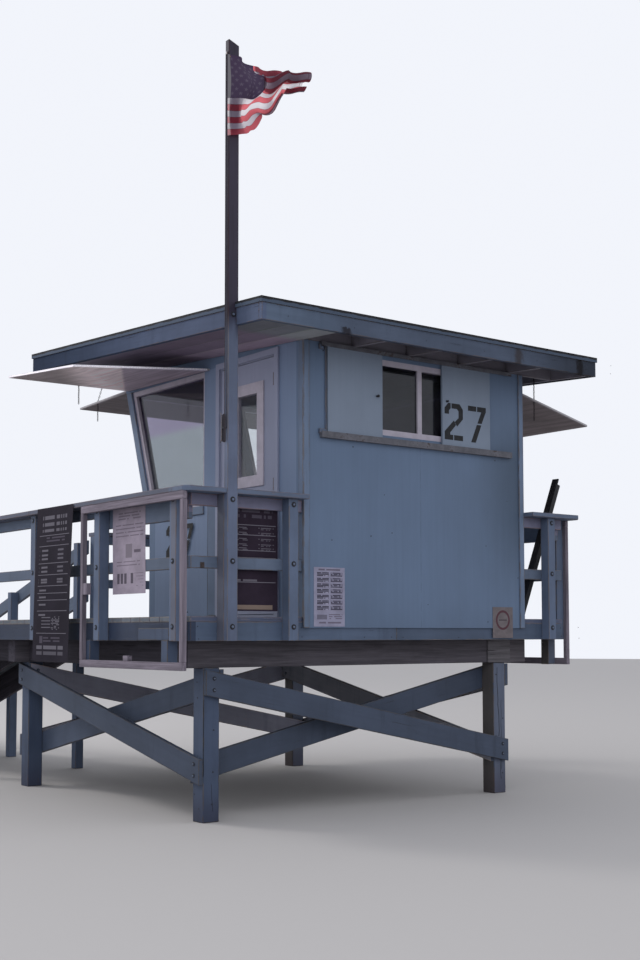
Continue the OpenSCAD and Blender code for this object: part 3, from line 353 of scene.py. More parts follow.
# Painted light: the left soffit is lighter towards the wall. It is greener towards the rear edge
mat_soffit = board_paint("painted_soffit", (0.185, 0.14, 0.19), wear=0.3, dirt=0.3, spread=0.05, where=(
    ("x>-1.306", (1.7, 1.7, 1.6)), ("x>-1.526", (1.25, 1.25, 1.25)), ("y:-4.3:-4.5", (0.82, 1.12, 0.92))))
mat_trim = board_paint("painted_trim", (0.125, 0.17, 0.255), dirt=0.35)
mat_rafter = board_paint("painted_rafters", (0.18, 0.168, 0.2), (0.16, 0.14, 0.15), 0.8)
mat_beam_plate = bare_wood("beam_plate_wood", (0.155, 0.146, 0.16), (0.1, 0.094, 0.104), 0.4)
# Painted shade on the beams' left faces, and painted light on their rear faces at the right
mat_beam = bare_wood("dark_beams", (0.11, 0.101, 0.119), (0.064, 0.059, 0.07), 0.4, (
    ("nx<-0.5", (0.58, 0.58, 0.64)), ("x>1.31 ny<-0.8", (1.35, 1.33, 1.28))))
mat_rack = bare_wood("grey_racks", (0.235, 0.205, 0.25), (0.12, 0.105, 0.13), 0.3)
# Painted shade: the walls' right part is darker at middle heights
mat_wall = panel_paint("wall_paint", BLUE, seam=(MID_X + 4 - OX) / 1000, low=1.4, where=(
    ("x:0.6:1.3 z:1.5:2.5 z:3.4:2.8", (0.52, 0.54, 0.54)),))
# The left wall's paint is the walls' blue made lighter, a painted light
mat_wall_left_lit = panel_paint("left_wall_paint_lit", (0.156, 0.212, 0.325), low=1.4)
mat_inside = panel_paint("shutter_paint", (0.185, 0.228, 0.3), 0.35, nails=False)
# The door's paint is greyer than the walls' and made lighter, a painted light
mat_door_lit = panel_paint("door_paint_lit", (0.25, 0.272, 0.372), 0.4, nails=False)
mat_white = plain("aged_white", (0.39, 0.36, 0.425), 0.55, 0, 0.12, 9, (0.17, 0.16, 0.18))
mat_bolt = plain("galvanised", (0.13, 0.13, 0.15), 0.5, 0.6, 0.2, 60, (0.1, 0.05, 0.03), 0.35)
# Near black, for nails and small fittings, and for the rings round bolts as painted shade of their recesses
mat_dark_metal_and_recess_shade = plain("dark_metal_and_painted_recess_shade", (0.02, 0.02, 0.026), 0.6, 0.3, 0.4, 40)
mat_head = plain("painted_heads", (0.105, 0.135, 0.2), 0.5, 0, 0.15, 60, (0.05, 0.035, 0.03), 0.1)
mat_chain = plain("chain_steel", (0.02, 0.018, 0.022), 0.55, 0.3, 0.2, 60, (0.045, 0.03, 0.025), 0.3)
mat_paper = plain("old_paper", (0.62, 0.68, 0.68), 0.8, 0, 0.1, 30)
mat_track = plain("track_paint", (0.105, 0.106, 0.126), 0.7, 0, 0.3, 11, (0.06, 0.048, 0.048), 0.25)
mat_brass = plain("worn_brass", (0.3, 0.22, 0.11), 0.38, 0.9, 0.2, 50, (0.08, 0.06, 0.04), 0.2)
# Black for stencils and leg splits, and for the painted shadow lines beside the left wall's strip
mat_black = plain("stencil_and_shade_black", (0.012, 0.013, 0.016), 0.75, 0, 0.4, 25)
mat_rope = plain("cord", (0.045, 0.04, 0.05), 0.9, 0, 0.3, 300)
mat_dark_stub = plain("rusty_stub", (0.05, 0.037, 0.036), 0.85, 0, 0.5, 60)
mat_dark = plain("dark_channel", (0.012, 0.012, 0.015), 0.55, 0.2, 0.2, 20, (0.05, 0.035, 0.03), 0.1)
mat_floor_in = plain("cabin_floor", (0.16, 0.14, 0.13), 0.8, 0, 0.25, 5)
# The rear panes pass much less light, a painted shade of the cabin's inside. The left panes pass less, and
# their upper part is more violet
mat_glass = glass("window_glass", (0.88, 0.9, 0.9), (
    ("x<-1 y>-4.3", (0.65, 0.66, 0.69)), ("y<-4.3", (0.227, 0.2, 0.289)),
    ("x<-1 y>-4.3 z:3.12:3.2", (0.97, 0.86, 0.99))))
mat_glass_door = glass("door_glass", (0.9, 0.91, 0.93))


# Boards and small parts

def piece(name, verts, faces, mat, slot, nodes=(), smooth=None, **attributes):
    """A mesh as a piece of the tower, which hides the CAD nodes that it replaces. slot is not used."""
    mesh = bpy.data.meshes.new(name)
    mesh.from_pydata(verts, [], faces)
    if smooth:
        mesh.polygons.foreach_set("use_smooth", smooth)
    for key, rows in attributes.items():
        data = mesh.attributes.new(key, "FLOAT_VECTOR", "POINT").data
        data.foreach_set("vector", [x for row in rows for x in row])
    mesh.materials.append(mat)
    obj = bpy.data.objects.new(name, mesh)
    bpy.context.scene.collection.objects.link(obj)
    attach(obj, "tower")
    if nodes:
        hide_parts(*nodes)
    return obj


def template():
    """Faces of a box with chamfered edges. Vertex corner * 3 + k lies on the face across axis k."""
    def pos(i):
        c, k = divmod(i, 3)
        bits = (c >> 2 & 1, c >> 1 & 1, c & 1)
        return Vector([b if j == k else (0.1 if b == 0 else 0.9) for j, b in enumerate(bits)])

    def vertex(places, k):
        """The vertex across axis k at the corner given by the place, 0 or 1, along each axis."""
        return (places[0] * 4 + places[1] * 2 + places[2]) * 3 + k

    faces = []
    for k in range(3):
        i, j = (k + 1) % 3, (k + 2) % 3
        for s in (0, 1):
            faces.append([vertex({k: s, i: a, j: b}, k) for a, b in ((0, 0), (1, 0), (1, 1), (0, 1))])
            for t in (0, 1):
                edge = ((0, i), (1, i), (1, j), (0, j))
                faces.append([vertex({i: s, j: t, k: a}, side) for a, side in edge])
    faces += [[c * 3, c * 3 + 1, c * 3 + 2] for c in range(8)]
    out = []
    for face in faces:
        p = [pos(i) for i in face]
        n = (p[1] - p[0]).cross(p[2] - p[1])
        middle = sum(p, Vector()) / len(p) - Vector((0.5, 0.5, 0.5))
        out.append(face if n.dot(middle) > 0 else face[::-1])
    return out


BOX_FACES = template()


class Boards:
    """Collects boards in the tower's millimetres for one mesh, which keeps each board's own coordinates."""

    def __init__(self, seed):
        self.rnd = random.Random(seed)
        self.v, self.f, self.loc, self.half, self.tone = [], [], [], [], []

    def add_vertex(self, place, loc, half, tone):
        self.v.append(at(*place))
        self.loc.append(loc)
        self.half.append(half)
        self.tone.append(tone)

    def new_tone(self):
        return tuple(self.rnd.random() for _ in range(3))

    def hexa(self, c, ch=2, tone=None):
        """Eight corners, c[4 * i + 2 * j + k], in millimetres. The first axis is the grain."""
        c = [Vector(p) for p in c]
        size = [sum((c[i | far] - c[i]).length for i in range(8) if not i & far) / 4 for far in (4, 2, 1)]
        tone = tone or self.new_tone()
        n = len(self.v)
        for i in range(8):
            bits = (i >> 2 & 1, i >> 1 & 1, i & 1)
            for k in range(3):
                t = [b if j == k else b + (1 - 2 * b) * ch / size[j] for j, b in enumerate(bits)]
                p = Vector()
                for q in range(8):
                    w = 1
                    for j in range(3):
                        w *= t[j] if q >> (2 - j) & 1 else 1 - t[j]
                    p += c[q] * w
                loc = [(t[j] - 0.5) * size[j] / 1000 for j in range(3)]
                self.add_vertex(p, loc, [s / 2000 for s in size], tone)
        right = (c[4] - c[0]).dot((c[2] - c[0]).cross(c[1] - c[0])) > 0
        self.f += [[n + i for i in (f if right else f[::-1])] for f in BOX_FACES]

    def skew(self, o, a, b, c, ch=2, tone=None):
        """A board with one corner at o and its edges along a, b and c, with the grain along a."""
        o, a, b, c = Vector(o), Vector(a), Vector(b), Vector(c)
        self.hexa([o + a * i + b * j + c * k for i in (0, 1) for j in (0, 1) for k in (0, 1)], ch, tone)

    def box(self, x, y, z, grain=None, ch=2):
        e = [Vector((x[1] - x[0], 0, 0)), Vector((0, y[1] - y[0], 0)), Vector((0, 0, z[1] - z[0]))]
        k = "xyz".index(grain) if grain else max(range(3), key=lambda i: e[i].length)
        self.skew((x[0], y[0], z[0]), e[k], e[(k + 1) % 3], e[(k + 2) % 3], ch)

    def plate(self, pts, axis, lo, hi, grain=(1, 0), ch=2):
        """A flat piece cut to an outline and thick along axis, with its grain in the outline's plane."""
        tone = self.new_tone()
        pts = [Vector(p) for p in pts]
        m = len(pts)
        if sum(pts[i - 1][0] * pts[i][1] - pts[i - 1][1] * pts[i][0] for i in range(m)) < 0:
            pts = pts[::-1]
        inset = []
        for i in range(m):
            d0 = (pts[i] - pts[i - 1]).normalized()
            d1 = (pts[(i + 1) % m] - pts[i]).normalized()
            n0, n1 = Vector((-d0[1], d0[0])), Vector((-d1[1], d1[0]))
            k = n0 + n1
            inset.append(pts[i] + k * (ch / max(0.2, k.dot(n0))))
        g = Vector(grain).normalized()
        h = Vector((-g[1], g[0]))
        us, vs = [p.dot(g) for p in pts], [p.dot(h) for p in pts]
        mid = ((max(us) + min(us)) / 2, (max(vs) + min(vs)) / 2, (lo + hi) / 2)
        half = [(max(us) - min(us)) / 2000, (max(vs) - min(vs)) / 2000, abs(hi - lo) / 2000]
        n = len(self.v)
        for ring, level in ((inset, lo), (pts, lo + ch), (pts, hi - ch), (inset, hi)):
            for p in ring:
                place = (level, p[0], p[1]) if axis == "x" else (p[0], p[1], level)
                loc = [(p.dot(g) - mid[0]) / 1000, (p.dot(h) - mid[1]) / 1000, (level - mid[2]) / 1000]
                self.add_vertex(place, loc, half, tone)
        self.f += [[n + i for i in range(m)][::-1], [n + 3 * m + i for i in range(m)]]
        for r in range(n, n + 3 * m, m):
            self.f += [[r + i, r + (i + 1) % m, r + m + (i + 1) % m, r + m + i] for i in range(m)]

    def build(self, name, mat, slot, *nodes):
        return piece(name, self.v, self.f, mat, slot, nodes, loc=self.loc, half=self.half, tone=self.tone)


class Bits:
    """Collects small turned or flat parts in the tower's millimetres."""

    def __init__(self):
        self.v, self.f, self.smooth = [], [], []

    def add(self, verts, faces, smooth=False):
        n = len(self.v)
        self.v += verts
        self.f += [[n + i for i in f] for f in faces]
        self.smooth += [smooth] * len(faces)

    def rings(self, places, n, closed, smooth):
        """Faces between rings of n points. places are (middle, two directions across, radius)."""
        m = len(places)
        turns = [2 * math.pi * k / n for k in range(n)]
        verts = [at(*(p + (u * math.cos(t) + w * math.sin(t)) * r)) for p, u, w, r in places for t in turns]
        faces = [[i * n + k, i * n + (k + 1) % n, (i + 1) % m * n + (k + 1) % n, (i + 1) % m * n + k]
                 for i in range(m if closed else m - 1) for k in range(n)]
        if not closed:
            faces += [list(range(n))[::-1], [(m - 1) * n + k for k in range(n)]]
        self.add(verts, faces, smooth)

    def turned(self, base, axis, steps, n=10):
        """A part turned round an axis from base. steps are (distance along the axis, radius)."""
        base, axis = Vector(base), Vector(axis).normalized()
        u = axis.orthogonal().normalized()
        w = axis.cross(u)
        self.rings([(base + axis * d, u, w, r) for d, r in steps], n, False, False)

    def tube(self, path, r, n=6, closed=False):
        path = [Vector(p) for p in path]
        m = len(path)
        u, places = None, []
        for i, p in enumerate(path):
            a = path[i - 1] if closed or i else p
            b = path[(i + 1) % m] if closed or i < m - 1 else p
            d = (b - a).normalized()
            u = (d.orthogonal() if u is None else u - d * u.dot(d)).normalized()
            places.append((p, u, d.cross(u), r))
        self.rings(places, n, closed, True)

    def bolt(self, p, axis, r=21):
        """A bolt in a dark ring, a painted shade of its recess, with its painted hexagonal head in `heads`.
        """
        self.turned(p, axis, [(0, r), (2.2, r), (3, r - 1)], 14)
        heads.turned(p, axis, [(2.5, r * 0.46), (8, r * 0.46), (9.5, r * 0.34)], 6)

    def build(self, name, mat, slot, *nodes):
        return piece(name, self.v, self.f, mat, slot, nodes, self.smooth)


def dress(node, mat, bevel=2):
    """A CAD node keeps its mesh and gets a material and rounded edges."""
    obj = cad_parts[node]
    obj.data.materials.clear()
    obj.data.materials.append(mat)
    if bevel:
        m = obj.modifiers.new("edges", "BEVEL")
        m.width = bevel / 1000
        m.segments = 2
        m.limit_method = "ANGLE"
        m.angle_limit = math.radians(40)
        m.harden_normals = False


# Camera: the photograph's own viewing point
FOCAL, FRAME_H, HORIZON = 1322.458, 960, 549.44
scene = bpy.context.scene
cam_data = bpy.data.cameras.new("camera")
cam = bpy.data.objects.new("camera", cam_data)
scene.collection.objects.link(cam)
scene.camera = cam
cam_data.sensor_fit = "VERTICAL"
cam_data.sensor_height = 36
cam_data.lens = FOCAL * 36 / FRAME_H
cam_data.shift_y = (HORIZON - FRAME_H / 2) / FRAME_H
cam_data.clip_end = 300
az, el, roll = (math.radians(a) for a in (-37.4267, 3.6402, -0.0609))
fwd = Vector((-math.sin(az) * math.cos(el), math.cos(az) * math.cos(el), math.sin(el)))
right = fwd.cross(Vector((0, 0, 1))).normalized()
up = right.cross(fwd)
right, up = right * math.cos(roll) + up * math.sin(roll), up * math.cos(roll) - right * math.sin(roll)
turned = Matrix((right, up, -fwd)).transposed().to_4x4()
cam.matrix_world = Matrix.Translation(at(-4993.8, -8042.5, -124.5)) @ turned

# Names of the slots used more than once
BLUE_SLOT, DARK_WOOD, DARK_METAL, RUSTY = "light_blue_paint", "dark_timber", "dark_metal", "rusty_steel"
LEFT, RIGHT, REAR, FRONT = (-1, 0, 0), (1, 0, 0), (0, -1, 0), (0, 1, 0)

# Legs and braces
LX, LY = (227, 227 + 2963), (182, 182 + 2940)
RUN_X, RUN_Y = LX[1] - LX[0] + LEG, LY[1] - LY[0] + LEG
BRACE_HI, BRACE_LO, BRACE_W = BEAM_BOT - 105, BEAM_BOT - 757, 184
b = Boards(11)
for x in LX:
    for y in LY:
        b.box((x, x + LEG), (y, y + LEG), (GROUND, BEAM_BOT), "z", 5)
b.build("leg_timbers", mat_leg, BLUE_SLOT, "legs")

bolts, heads = Bits(), Bits()
b = Boards(12)


def brace(x, y, run, along, side, z0, z1):
    """A plank over two legs and thick to one side, with the middle of its ends at heights z0 and z1."""
    half = BRACE_W / 2 * math.sqrt(1 + ((z1 - z0) / run) ** 2)
    length = Vector(along) * run + Vector((0, 0, z1 - z0))
    b.skew((x, y, z0 - half), length, Vector(side) * BOARD, (0, 0, 2 * half), 3)


def brace_bolts(x, y, axis, z):
    for dz in (-42, 42):
        bolts.bolt((x, y, z + dz), axis, 15)


for y in LY:
    brace(LX[0], y, RUN_X, RIGHT, REAR, BRACE_HI, BRACE_LO)
    brace(LX[0], y + LEG + BOARD, RUN_X, RIGHT, REAR, BRACE_LO, BRACE_HI)
for x in LX:
    brace(x, LY[1] + LEG, RUN_Y, REAR, LEFT, BRACE_HI, BRACE_LO)
    brace(x + LEG + BOARD, LY[1] + LEG, RUN_Y, REAR, LEFT, BRACE_LO, BRACE_HI)
b.build("brace_planks", mat_brace, BLUE_SLOT, "braces")


def nails(axis, points, r=4.5):
    for p in points:
        bolts.turned(p, axis, [(0, r), (1.4, r), (1.8, r * 0.7)], 8)


rnd = random.Random(77)
splits = Bits()


def crack(x0, z0, x1, z1, r=1.8, wander=3, y=181.5):
    """A dark split in a leg, drawn as a thin crooked line on its rear face."""
    p0, p1 = Vector((x0, y, z0)), Vector((x1, y, z1))
    n = max(4, int((p1 - p0).length / 45))
    slip, path = Vector((0, 0, 0)), []
    for i in range(n + 1):
        slip = slip * 0.6 + Vector((rnd.uniform(-wander, wander), 0, 0))
        path.append(p0.lerp(p1, i / n) + slip)
    splits.tube(path, r, 5)


crack(228.5, -606, 229, -1163, 2.6, y=181)
crack(230, -560, 232, -420, 1.4)
crack(300, -1220, 312, -1420, 1.3)
crack(3238, -420, 3250, -1010, 2.4, 5)
crack(3282, -700, 3276, -1300, 1.6, 4)
crack(3262, -1150, 3270, -1380, 1.8, 4)
splits.build("leg_splits", mat_black, DARK_WOOD)
rear_nails = ((317, -830), (312, -1135), (303, -1368), (316, -515), (3222, -480), (3300, -860),
              (3215, -1010), (3290, -1330))
nails(REAR, [(x, LY[0], z) for x, z in rear_nails], 6)
left_nails = ((262, -595), (270, -480), (300, -1300), (240, -1400), (285, -1040))
nails(LEFT, [(LX[0], y, z) for y, z in left_nails], 6)
DROP = BRACE_LO - BRACE_HI
for y in LY:
    for x in LX:
        t = (x + LEG / 2 - LX[0]) / RUN_X
        brace_bolts(x + LEG / 2, y - BOARD, REAR, BRACE_HI + DROP * t)
        brace_bolts(x + LEG / 2, y + LEG + BOARD, FRONT, BRACE_LO - DROP * t)
for x in LX:
    for y in LY:
        t = (LY[1] + LEG - y - LEG / 2) / RUN_Y
        brace_bolts(x - BOARD, y + LEG / 2, LEFT, BRACE_HI + DROP * t)
        brace_bolts(x + LEG + BOARD, y + LEG / 2, RIGHT, BRACE_LO - DROP * t)

# Floor frame
b = Boards(13)
for y, past in zip(LY, (255, 140)):
    b.box((LX[0] - 140, LX[1] + LEG + past), (y, y + LEG), (BEAM_BOT, JOIST_BOT), "x", 4)
for x in LX:
    for y in ((LY[0] + LEG + 1, LY[1] - 1), (LY[1] + LEG + 1, DECK_D - BOARD)):
        b.box((x, x + LEG), y, (BEAM_BOT, JOIST_BOT), "y", 4)
b.build("beam_timbers", mat_beam, DARK_WOOD, "beams")
b = Boards(35)
b.box((3116, 3384), (LY[0] - 14, LY[0]), (BEAM_BOT, JOIST_BOT - 2), "x")
b.build("beam_plate", mat_beam_plate, DARK_WOOD)

b = Boards(14)
pitch = (DECK_W - 3 * BOARD) / 10
for i in range(1, 10):
    b.box((BOARD + i * pitch, 2 * BOARD + i * pitch), (BOARD, DECK_D - BOARD), (JOIST_BOT, -BOARD), "y")
b.build("joist_boards", mat_beam, DARK_WOOD, "joists")

b = Boards(15)
z = (JOIST_BOT, -BOARD)
for y, joint in ((0, 1930), (DECK_D - BOARD, 2240)):
    for x in ((0, joint), (joint + 2, DECK_W)):
        b.box(x, (y, y + BOARD), z, "x")
for x in (0, DECK_W - BOARD):
    for y in ((BOARD, 2100), (2102, DECK_D - BOARD)):
        b.box((x, x + BOARD), y, z, "y")
b.build("rim_planks", mat_rim, BLUE_SLOT, "rim_boards")

b = Boards(16)
DECK_BOARDS, DECK_GAP = 29, 5
w = DECK_D / DECK_BOARDS
z = (-BOARD, 0)
for i in range(DECK_BOARDS):
    y0, y1 = i * w, (i + 1) * w - DECK_GAP if i < DECK_BOARDS - 1 else DECK_D
    if y0 < CABIN_D:
        y1 = min(y1, CABIN_D)
        for x in ((0, CABIN_L), (CABIN_R, DECK_W)):
            b.box(x, (y0, y1), z, "x", 2.5)
        if y1 == CABIN_D:
            b.box((0, DECK_W), (CABIN_D, (i + 1) * w - DECK_GAP), z, "x", 2.5)
    else:
        joint = b.rnd.choice((1285, 1950, 2610))
        for x in ((0, joint - 1), (joint + 1, DECK_W)):
            b.box(x, (y0, y1), z, "x", 2.5)
b.build("deck_planks", mat_deck, "deck_paint", "deck_boards")

for x in (60, 340, 980, 1590, 1870, 1990, 2600, 3210, 3850, 4080):
    nails(REAR, [(x, 0, -72 - (x % 3) * 4), (x + 9, 0, -150 - (x % 7) * 3)], 4)
for x in (24, 262, 520, 1130, 1850, 2480, 3090, 3700, 4020):
    nails(REAR, [(x, ROOF_Y0, soffit(ROOF_Y0) + 46), (x + 5, ROOF_Y0, soffit(ROOF_Y0) + 118)], 3.5)

# A cover strip and a foot board on the left wall
b = Boards(29)
x = CABIN_L - TRIM_T
b.box((x - 3.5, x), (1162, 1322), (27, 1000), "z", 1)
b.box((x - 22, x), (1190, 3050), (0.3, 25), "y")
b.build("left_wall_strip", mat_trim, BLUE_SLOT)
# Dark lines along the strip's edges, a painted shadow in the gaps beside it
edges = Bits()
for y in (1158.5, 1325.5):
    edges.tube([(x - 0.6, y, 27), (x - 0.6, y + 1, 400), (x - 0.6, y - 1, 1000)], 2.2, 5)
edges.build("left_wall_gap_shadows", mat_black, DARK_WOOD)

# Trim, sills and posts of the cabin
b = Boards(17)
top = soffit(-24)
for x, m in ((CABIN_L, 1), (CABIN_R, -1)):
    xo, xi = x - m * TRIM_T, x + m * 42
    b.box(sorted((xo, xi)), (TRIM_Y - TRIM_T, TRIM_Y), (-80, top), "z", 1.5)
    b.box(sorted((xo, x)), (TRIM_Y + 1, 42), (0, top), "z", 1.5)
b.build("corner_battens", mat_trim, BLUE_SLOT, "corner_trim")

b = Boards(18)
SILL_W, SILL_Y = 112, 2212
x, z = (CABIN_L - TRIM_T, CABIN_R + TRIM_T), (SILL_BOT, SILL_TOP)
b.box(x, (SILL_Y, FRONT_Y), z, "x", 3)
b.box((x[1] - SILL_W, x[1]), (RIGHT_WINDOW, SILL_Y - 1), z, "y", 3)
b.box((x[0], x[0] + SILL_W), (LEFT_WINDOW, SILL_Y - 1), z, "y", 3)
b.build("sill_boards", mat_trim, BLUE_SLOT, "window_sills")

b = Boards(19)
y0, y1 = front_y(SILL_TOP), front_y(HEADER)
for x in (CABIN_L, MID_X - POST / 2, CABIN_R - POST):
    b.skew((x, y0 - POST, SILL_TOP), (0, y1 - y0, HEADER - SILL_TOP), (POST, 0, 0), (0, POST, 0))
b.build("leaning_posts", mat_trim, BLUE_SLOT, "corner_posts")

# Roof
RAFTER_H, RAFTER_GAP, RAFTER_LIFT = 119.4, 0.5, 0.3
RAFTER_X = [ROOF_L + BOARD + i * (ROOF_R - ROOF_L - 3 * BOARD) / 6 for i in range(7)]
RAFTER_Y = (ROOF_Y0 + BOARD + RAFTER_GAP, ROOF_Y1 - BOARD - RAFTER_GAP)
b = Boards(20)
y0, y1 = RAFTER_Y
for x in RAFTER_X:
    length = (0, y1 - y0, (y1 - y0) * ROOF_K)
    b.skew((x, y0, soffit(y0) + RAFTER_LIFT), length, (BOARD, 0, 0), (0, 0, RAFTER_H))
b.build("rafter_boards", mat_rafter, DARK_WOOD, "rafters")

b = Boards(21)
FRONT_TOP = front_y(ROOF_Z) / (1 - ROOF_K * LEAN / (HEADER - SILL_TOP))
for x0, x1 in zip(RAFTER_X, RAFTER_X[1:]):
    for y in (TRIM_Y, FRONT_TOP - BOARD):
        corner = (x0 + BOARD + RAFTER_GAP, y, soffit(y) + RAFTER_LIFT)
        b.skew(corner, (x1 - x0 - BOARD - 1, 0, 0), (0, BOARD, BOARD * ROOF_K), (0, 0, RAFTER_H), 1.5)
b.build("blocking_boards", mat_rafter, DARK_WOOD, "rafter_blocks")


def sloped(x, y, lo=-6, hi=119.7, ch=2, tone=None, grain="y"):
    """A board along the roof's slope, between two heights over the soffit."""
    a, e = Vector((0, y[1] - y[0], (y[1] - y[0]) * ROOF_K)), Vector((x[1] - x[0], 0, 0))
    o, rise = (x[0], y[0], soffit(y[0]) + lo), Vector((0, 0, hi - lo))
    b.skew(o, *((a, rise, e) if grain == "y" else (e, a, rise)), ch, tone)


b = Boards(22)
for y in (ROOF_Y0, ROOF_Y1 - BOARD):
    sloped((ROOF_L, ROOF_R), (y, y + BOARD), grain="x")
for x, y in ((0, (RAFTER_Y[0], -139)), (23, (-139, -87)), (0, (-87, RAFTER_Y[1]))):
    sloped((ROOF_L + x, ROOF_L + BOARD), y, tone=(0.5, 0.3, 0.7))
sloped((ROOF_R - BOARD, ROOF_R), RAFTER_Y)
b.build("fascia_boards", mat_fascia, "grey_blue_paint", "fascia")
b = Boards(30)
for x in ((ROOF_L + BOARD + RAFTER_GAP, 547), (549, 767), (769, 987.5)):
    sloped(x, RAFTER_Y, -5.6, -0.4, 1)
b.build("left_soffit_boards", mat_soffit, "grey_blue_paint")

# Railings
side_posts = [60, 1210, 2360, 3510, DECK_D - POST - BOARD]
FRONT_RAIL_X, BOLT_Z = 1440, (-75, 395, 840)
rear_x = (222, 802, DECK_W - 262)
front_x = (FRONT_RAIL_X, (FRONT_RAIL_X + DECK_W) / 2, DECK_W - 262)


def rail_post(x, y, out, bolted=True):
    """A post outside the rim, with its bolts on the side that looks out."""
    b.box((x, x + POST), (y, y + POST), (JOIST_BOT, CAP_BOT), "z", 3)
    for z in BOLT_Z if bolted else ():
        across = POST if 1 in out else 0
        bolts.bolt((x + across, y + 44, z) if out[0] else (x + 44, y + across, z), out)


b = Boards(23)
for y in side_posts:
    rail_post(-POST, y, LEFT)
    rail_post(DECK_W, y, RIGHT)
for x in rear_x:
    rail_post(x, -POST, REAR, x != rear_x[0])
for x in front_x:
    rail_post(x, DECK_D, FRONT)
b.build("railing_timber_posts", mat_post, BLUE_SLOT, "railing_posts")
b = Boards(36)
b.box((78, 112), (-7, 0), (347, 388), "z")
b.build("rail_stub", mat_dark_stub, DARK_METAL)

b = Boards(24)
tall_end, low_z, high_z = side_posts[1] + POST, (345, 345 + POST), (CAP_BOT - POST, CAP_BOT)
for x in ((0, BOARD), (DECK_W - BOARD, DECK_W)):
    b.box(x, (BOARD + 1, tall_end), (CAP_BOT - 184, CAP_BOT), "y")
    b.box(x, (tall_end + 1, DECK_D), high_z, "y")
    b.box(x, (BOARD + 1, DECK_D), low_z, "y")
for x, y in (((0, CABIN_L - TRIM_T), (0, BOARD)), ((CABIN_R + TRIM_T, DECK_W), (0, BOARD)),
             ((FRONT_RAIL_X, DECK_W - BOARD - 1), (DECK_D - BOARD, DECK_D))):
    b.box(x, y, high_z, "x")
    b.box(x, y, low_z, "x")
b.build("railing_planks", mat_rail, BLUE_SLOT, "railing_boards")

b = Boards(25)
outer, y_in, cut, far = -CAP_EDGE, CAP_W - CAP_EDGE, 45, DECK_W + CAP_EDGE
z = (CAP_BOT, RAIL_H)
left_end = [(outer + cut, outer), (220, outer), (220, -POST), (313, -POST), (313, outer),
            (CABIN_L - 35, outer), (CABIN_L - 35, y_in), (outer, y_in), (outer, outer + cut)]
right_end = [(CABIN_R + TRIM_T, outer), (far - cut, outer), (far, outer + cut), (far, y_in),
             (CABIN_R + TRIM_T, y_in)]
for outline in (left_end, right_end):
    b.plate(outline, "z", *z, ch=3)
for x in ((outer, y_in), (DECK_W - y_in, far)):
    b.box(x, (y_in + 1, 2404), z, "y", 3)
    b.box(x, (2406, DECK_D + CAP_EDGE), z, "y", 3)
b.box((FRONT_RAIL_X, DECK_W - y_in - 1), (DECK_D + CAP_EDGE - CAP_W, DECK_D + CAP_EDGE), z, "x", 3)
b.build("railing_cap_boards", mat_cap, BLUE_SLOT, "railing_caps")

# Board racks, with their painted hangers
b, hang = Boards(26), Boards(126)
RACK_L, BAR = 1545, 57


def rack(y, low, stops, right_side):
    def bar(x, yy, z, grain=None, to=b, ch=3):
        to.box((DECK_W - x[1], DECK_W - x[0]) if right_side else x, yy, z, grain, ch)

    x, on_post = (-POST - 40, -POST), (-POST, 0)
    bar(x, (y, y + RACK_L), (CAP_BOT - BAR, CAP_BOT), "y")
    bar(x, (y, y + RACK_L), (-low, -low + BAR), "y")
    for end in (y, y + RACK_L - 40):
        bar(x, (end, end + 40), (-low + BAR + 0.5, CAP_BOT - BAR - 0.5), "z")
    for end in (168, 1352):
        bar(on_post, (end, end + POST), (-low, -172), "z", hang)
    bar(on_post, (150, 590), (-172, -83), "y", hang)
    for stop in stops:
        bar(x, (stop, stop + 70), (184, 274), "z", ch=2)
    bar(x, (y + 772.5, y + 842.5), (-low + BAR, -low + BAR + 40), "y", ch=2)


rack(-95, 385, (1340,), False)
rack(30, 401, (70, 1465), True)
b.build("rack_boards", mat_rack, "bare_boards", "board_racks")
hang.build("rack_hangers", mat_leg, BLUE_SLOT, "board_racks")

# Flagpole with its line and cleat
PX, POLE_T, POLE_TOP = rear_x[0], 48, 4235
PY = -POST - POLE_T
b = Boards(27)
slant = math.tan(math.radians(20))
ends = ((JOIST_BOT, JOIST_BOT), (POLE_TOP - slant, POLE_TOP - slant * (POST + 1)))
corners = [(PX + i * POST, PY + j * POLE_T, end[i]) for end in ends for i in (0, 1) for j in (0, 1)]
b.hexa(corners, 3, (0.45, 0.2, 0.6))
b.build("pole_timber", mat_pole, BLUE_SLOT, "flagpole")
for z in (*BOLT_Z, 2190):
    bolts.bolt((PX + POST / 2, PY, z), REAR)

# The halyard is one loop: up from the cleat, over the sheave, down again and in turns round the cleat
LINE_Y, SHEAVE_Z, CLEAT_Z, ROPE_R, SHEAVE_R = PY + 24, 4133, 1355, 3, 12
rope = [(PX - 4, LINE_Y - SHEAVE_R, CLEAT_Z + (SHEAVE_Z - CLEAT_Z) * i / 30) for i in range(30)]
bends = [math.pi * i / 14 for i in range(15)]
rope += [(PX - 4, LINE_Y - SHEAVE_R * math.cos(t), SHEAVE_Z + SHEAVE_R * math.sin(t)) for t in bends]
rope += [(PX - 4, LINE_Y + SHEAVE_R, SHEAVE_Z + (CLEAT_Z + 118 - SHEAVE_Z) * i / 30) for i in range(1, 31)]
bends = [math.pi * i / 8 for i in range(9)]
half_turn = [(SHEAVE_R, 88 * k / 3) for k in range(-2, 3)]
half_turn += [(math.cos(t) * SHEAVE_R, 88 + math.sin(t) * SHEAVE_R) for t in bends]
turn = half_turn + [(-SHEAVE_R, 88 * k / 3) for k in range(2, -3, -1)] + [(-y, -z) for y, z in half_turn[5:]]
turn = turn[5:] + turn[:5]
coil = (turn[::-1] * 3)[8:len(turn) * 3 - 8]
rope += [(PX - 11.5 - 6.6 * i / len(turn), LINE_Y + y, CLEAT_Z + z) for i, (y, z) in enumerate(coil)]
line = Bits()
line.tube(rope, ROPE_R, 8)
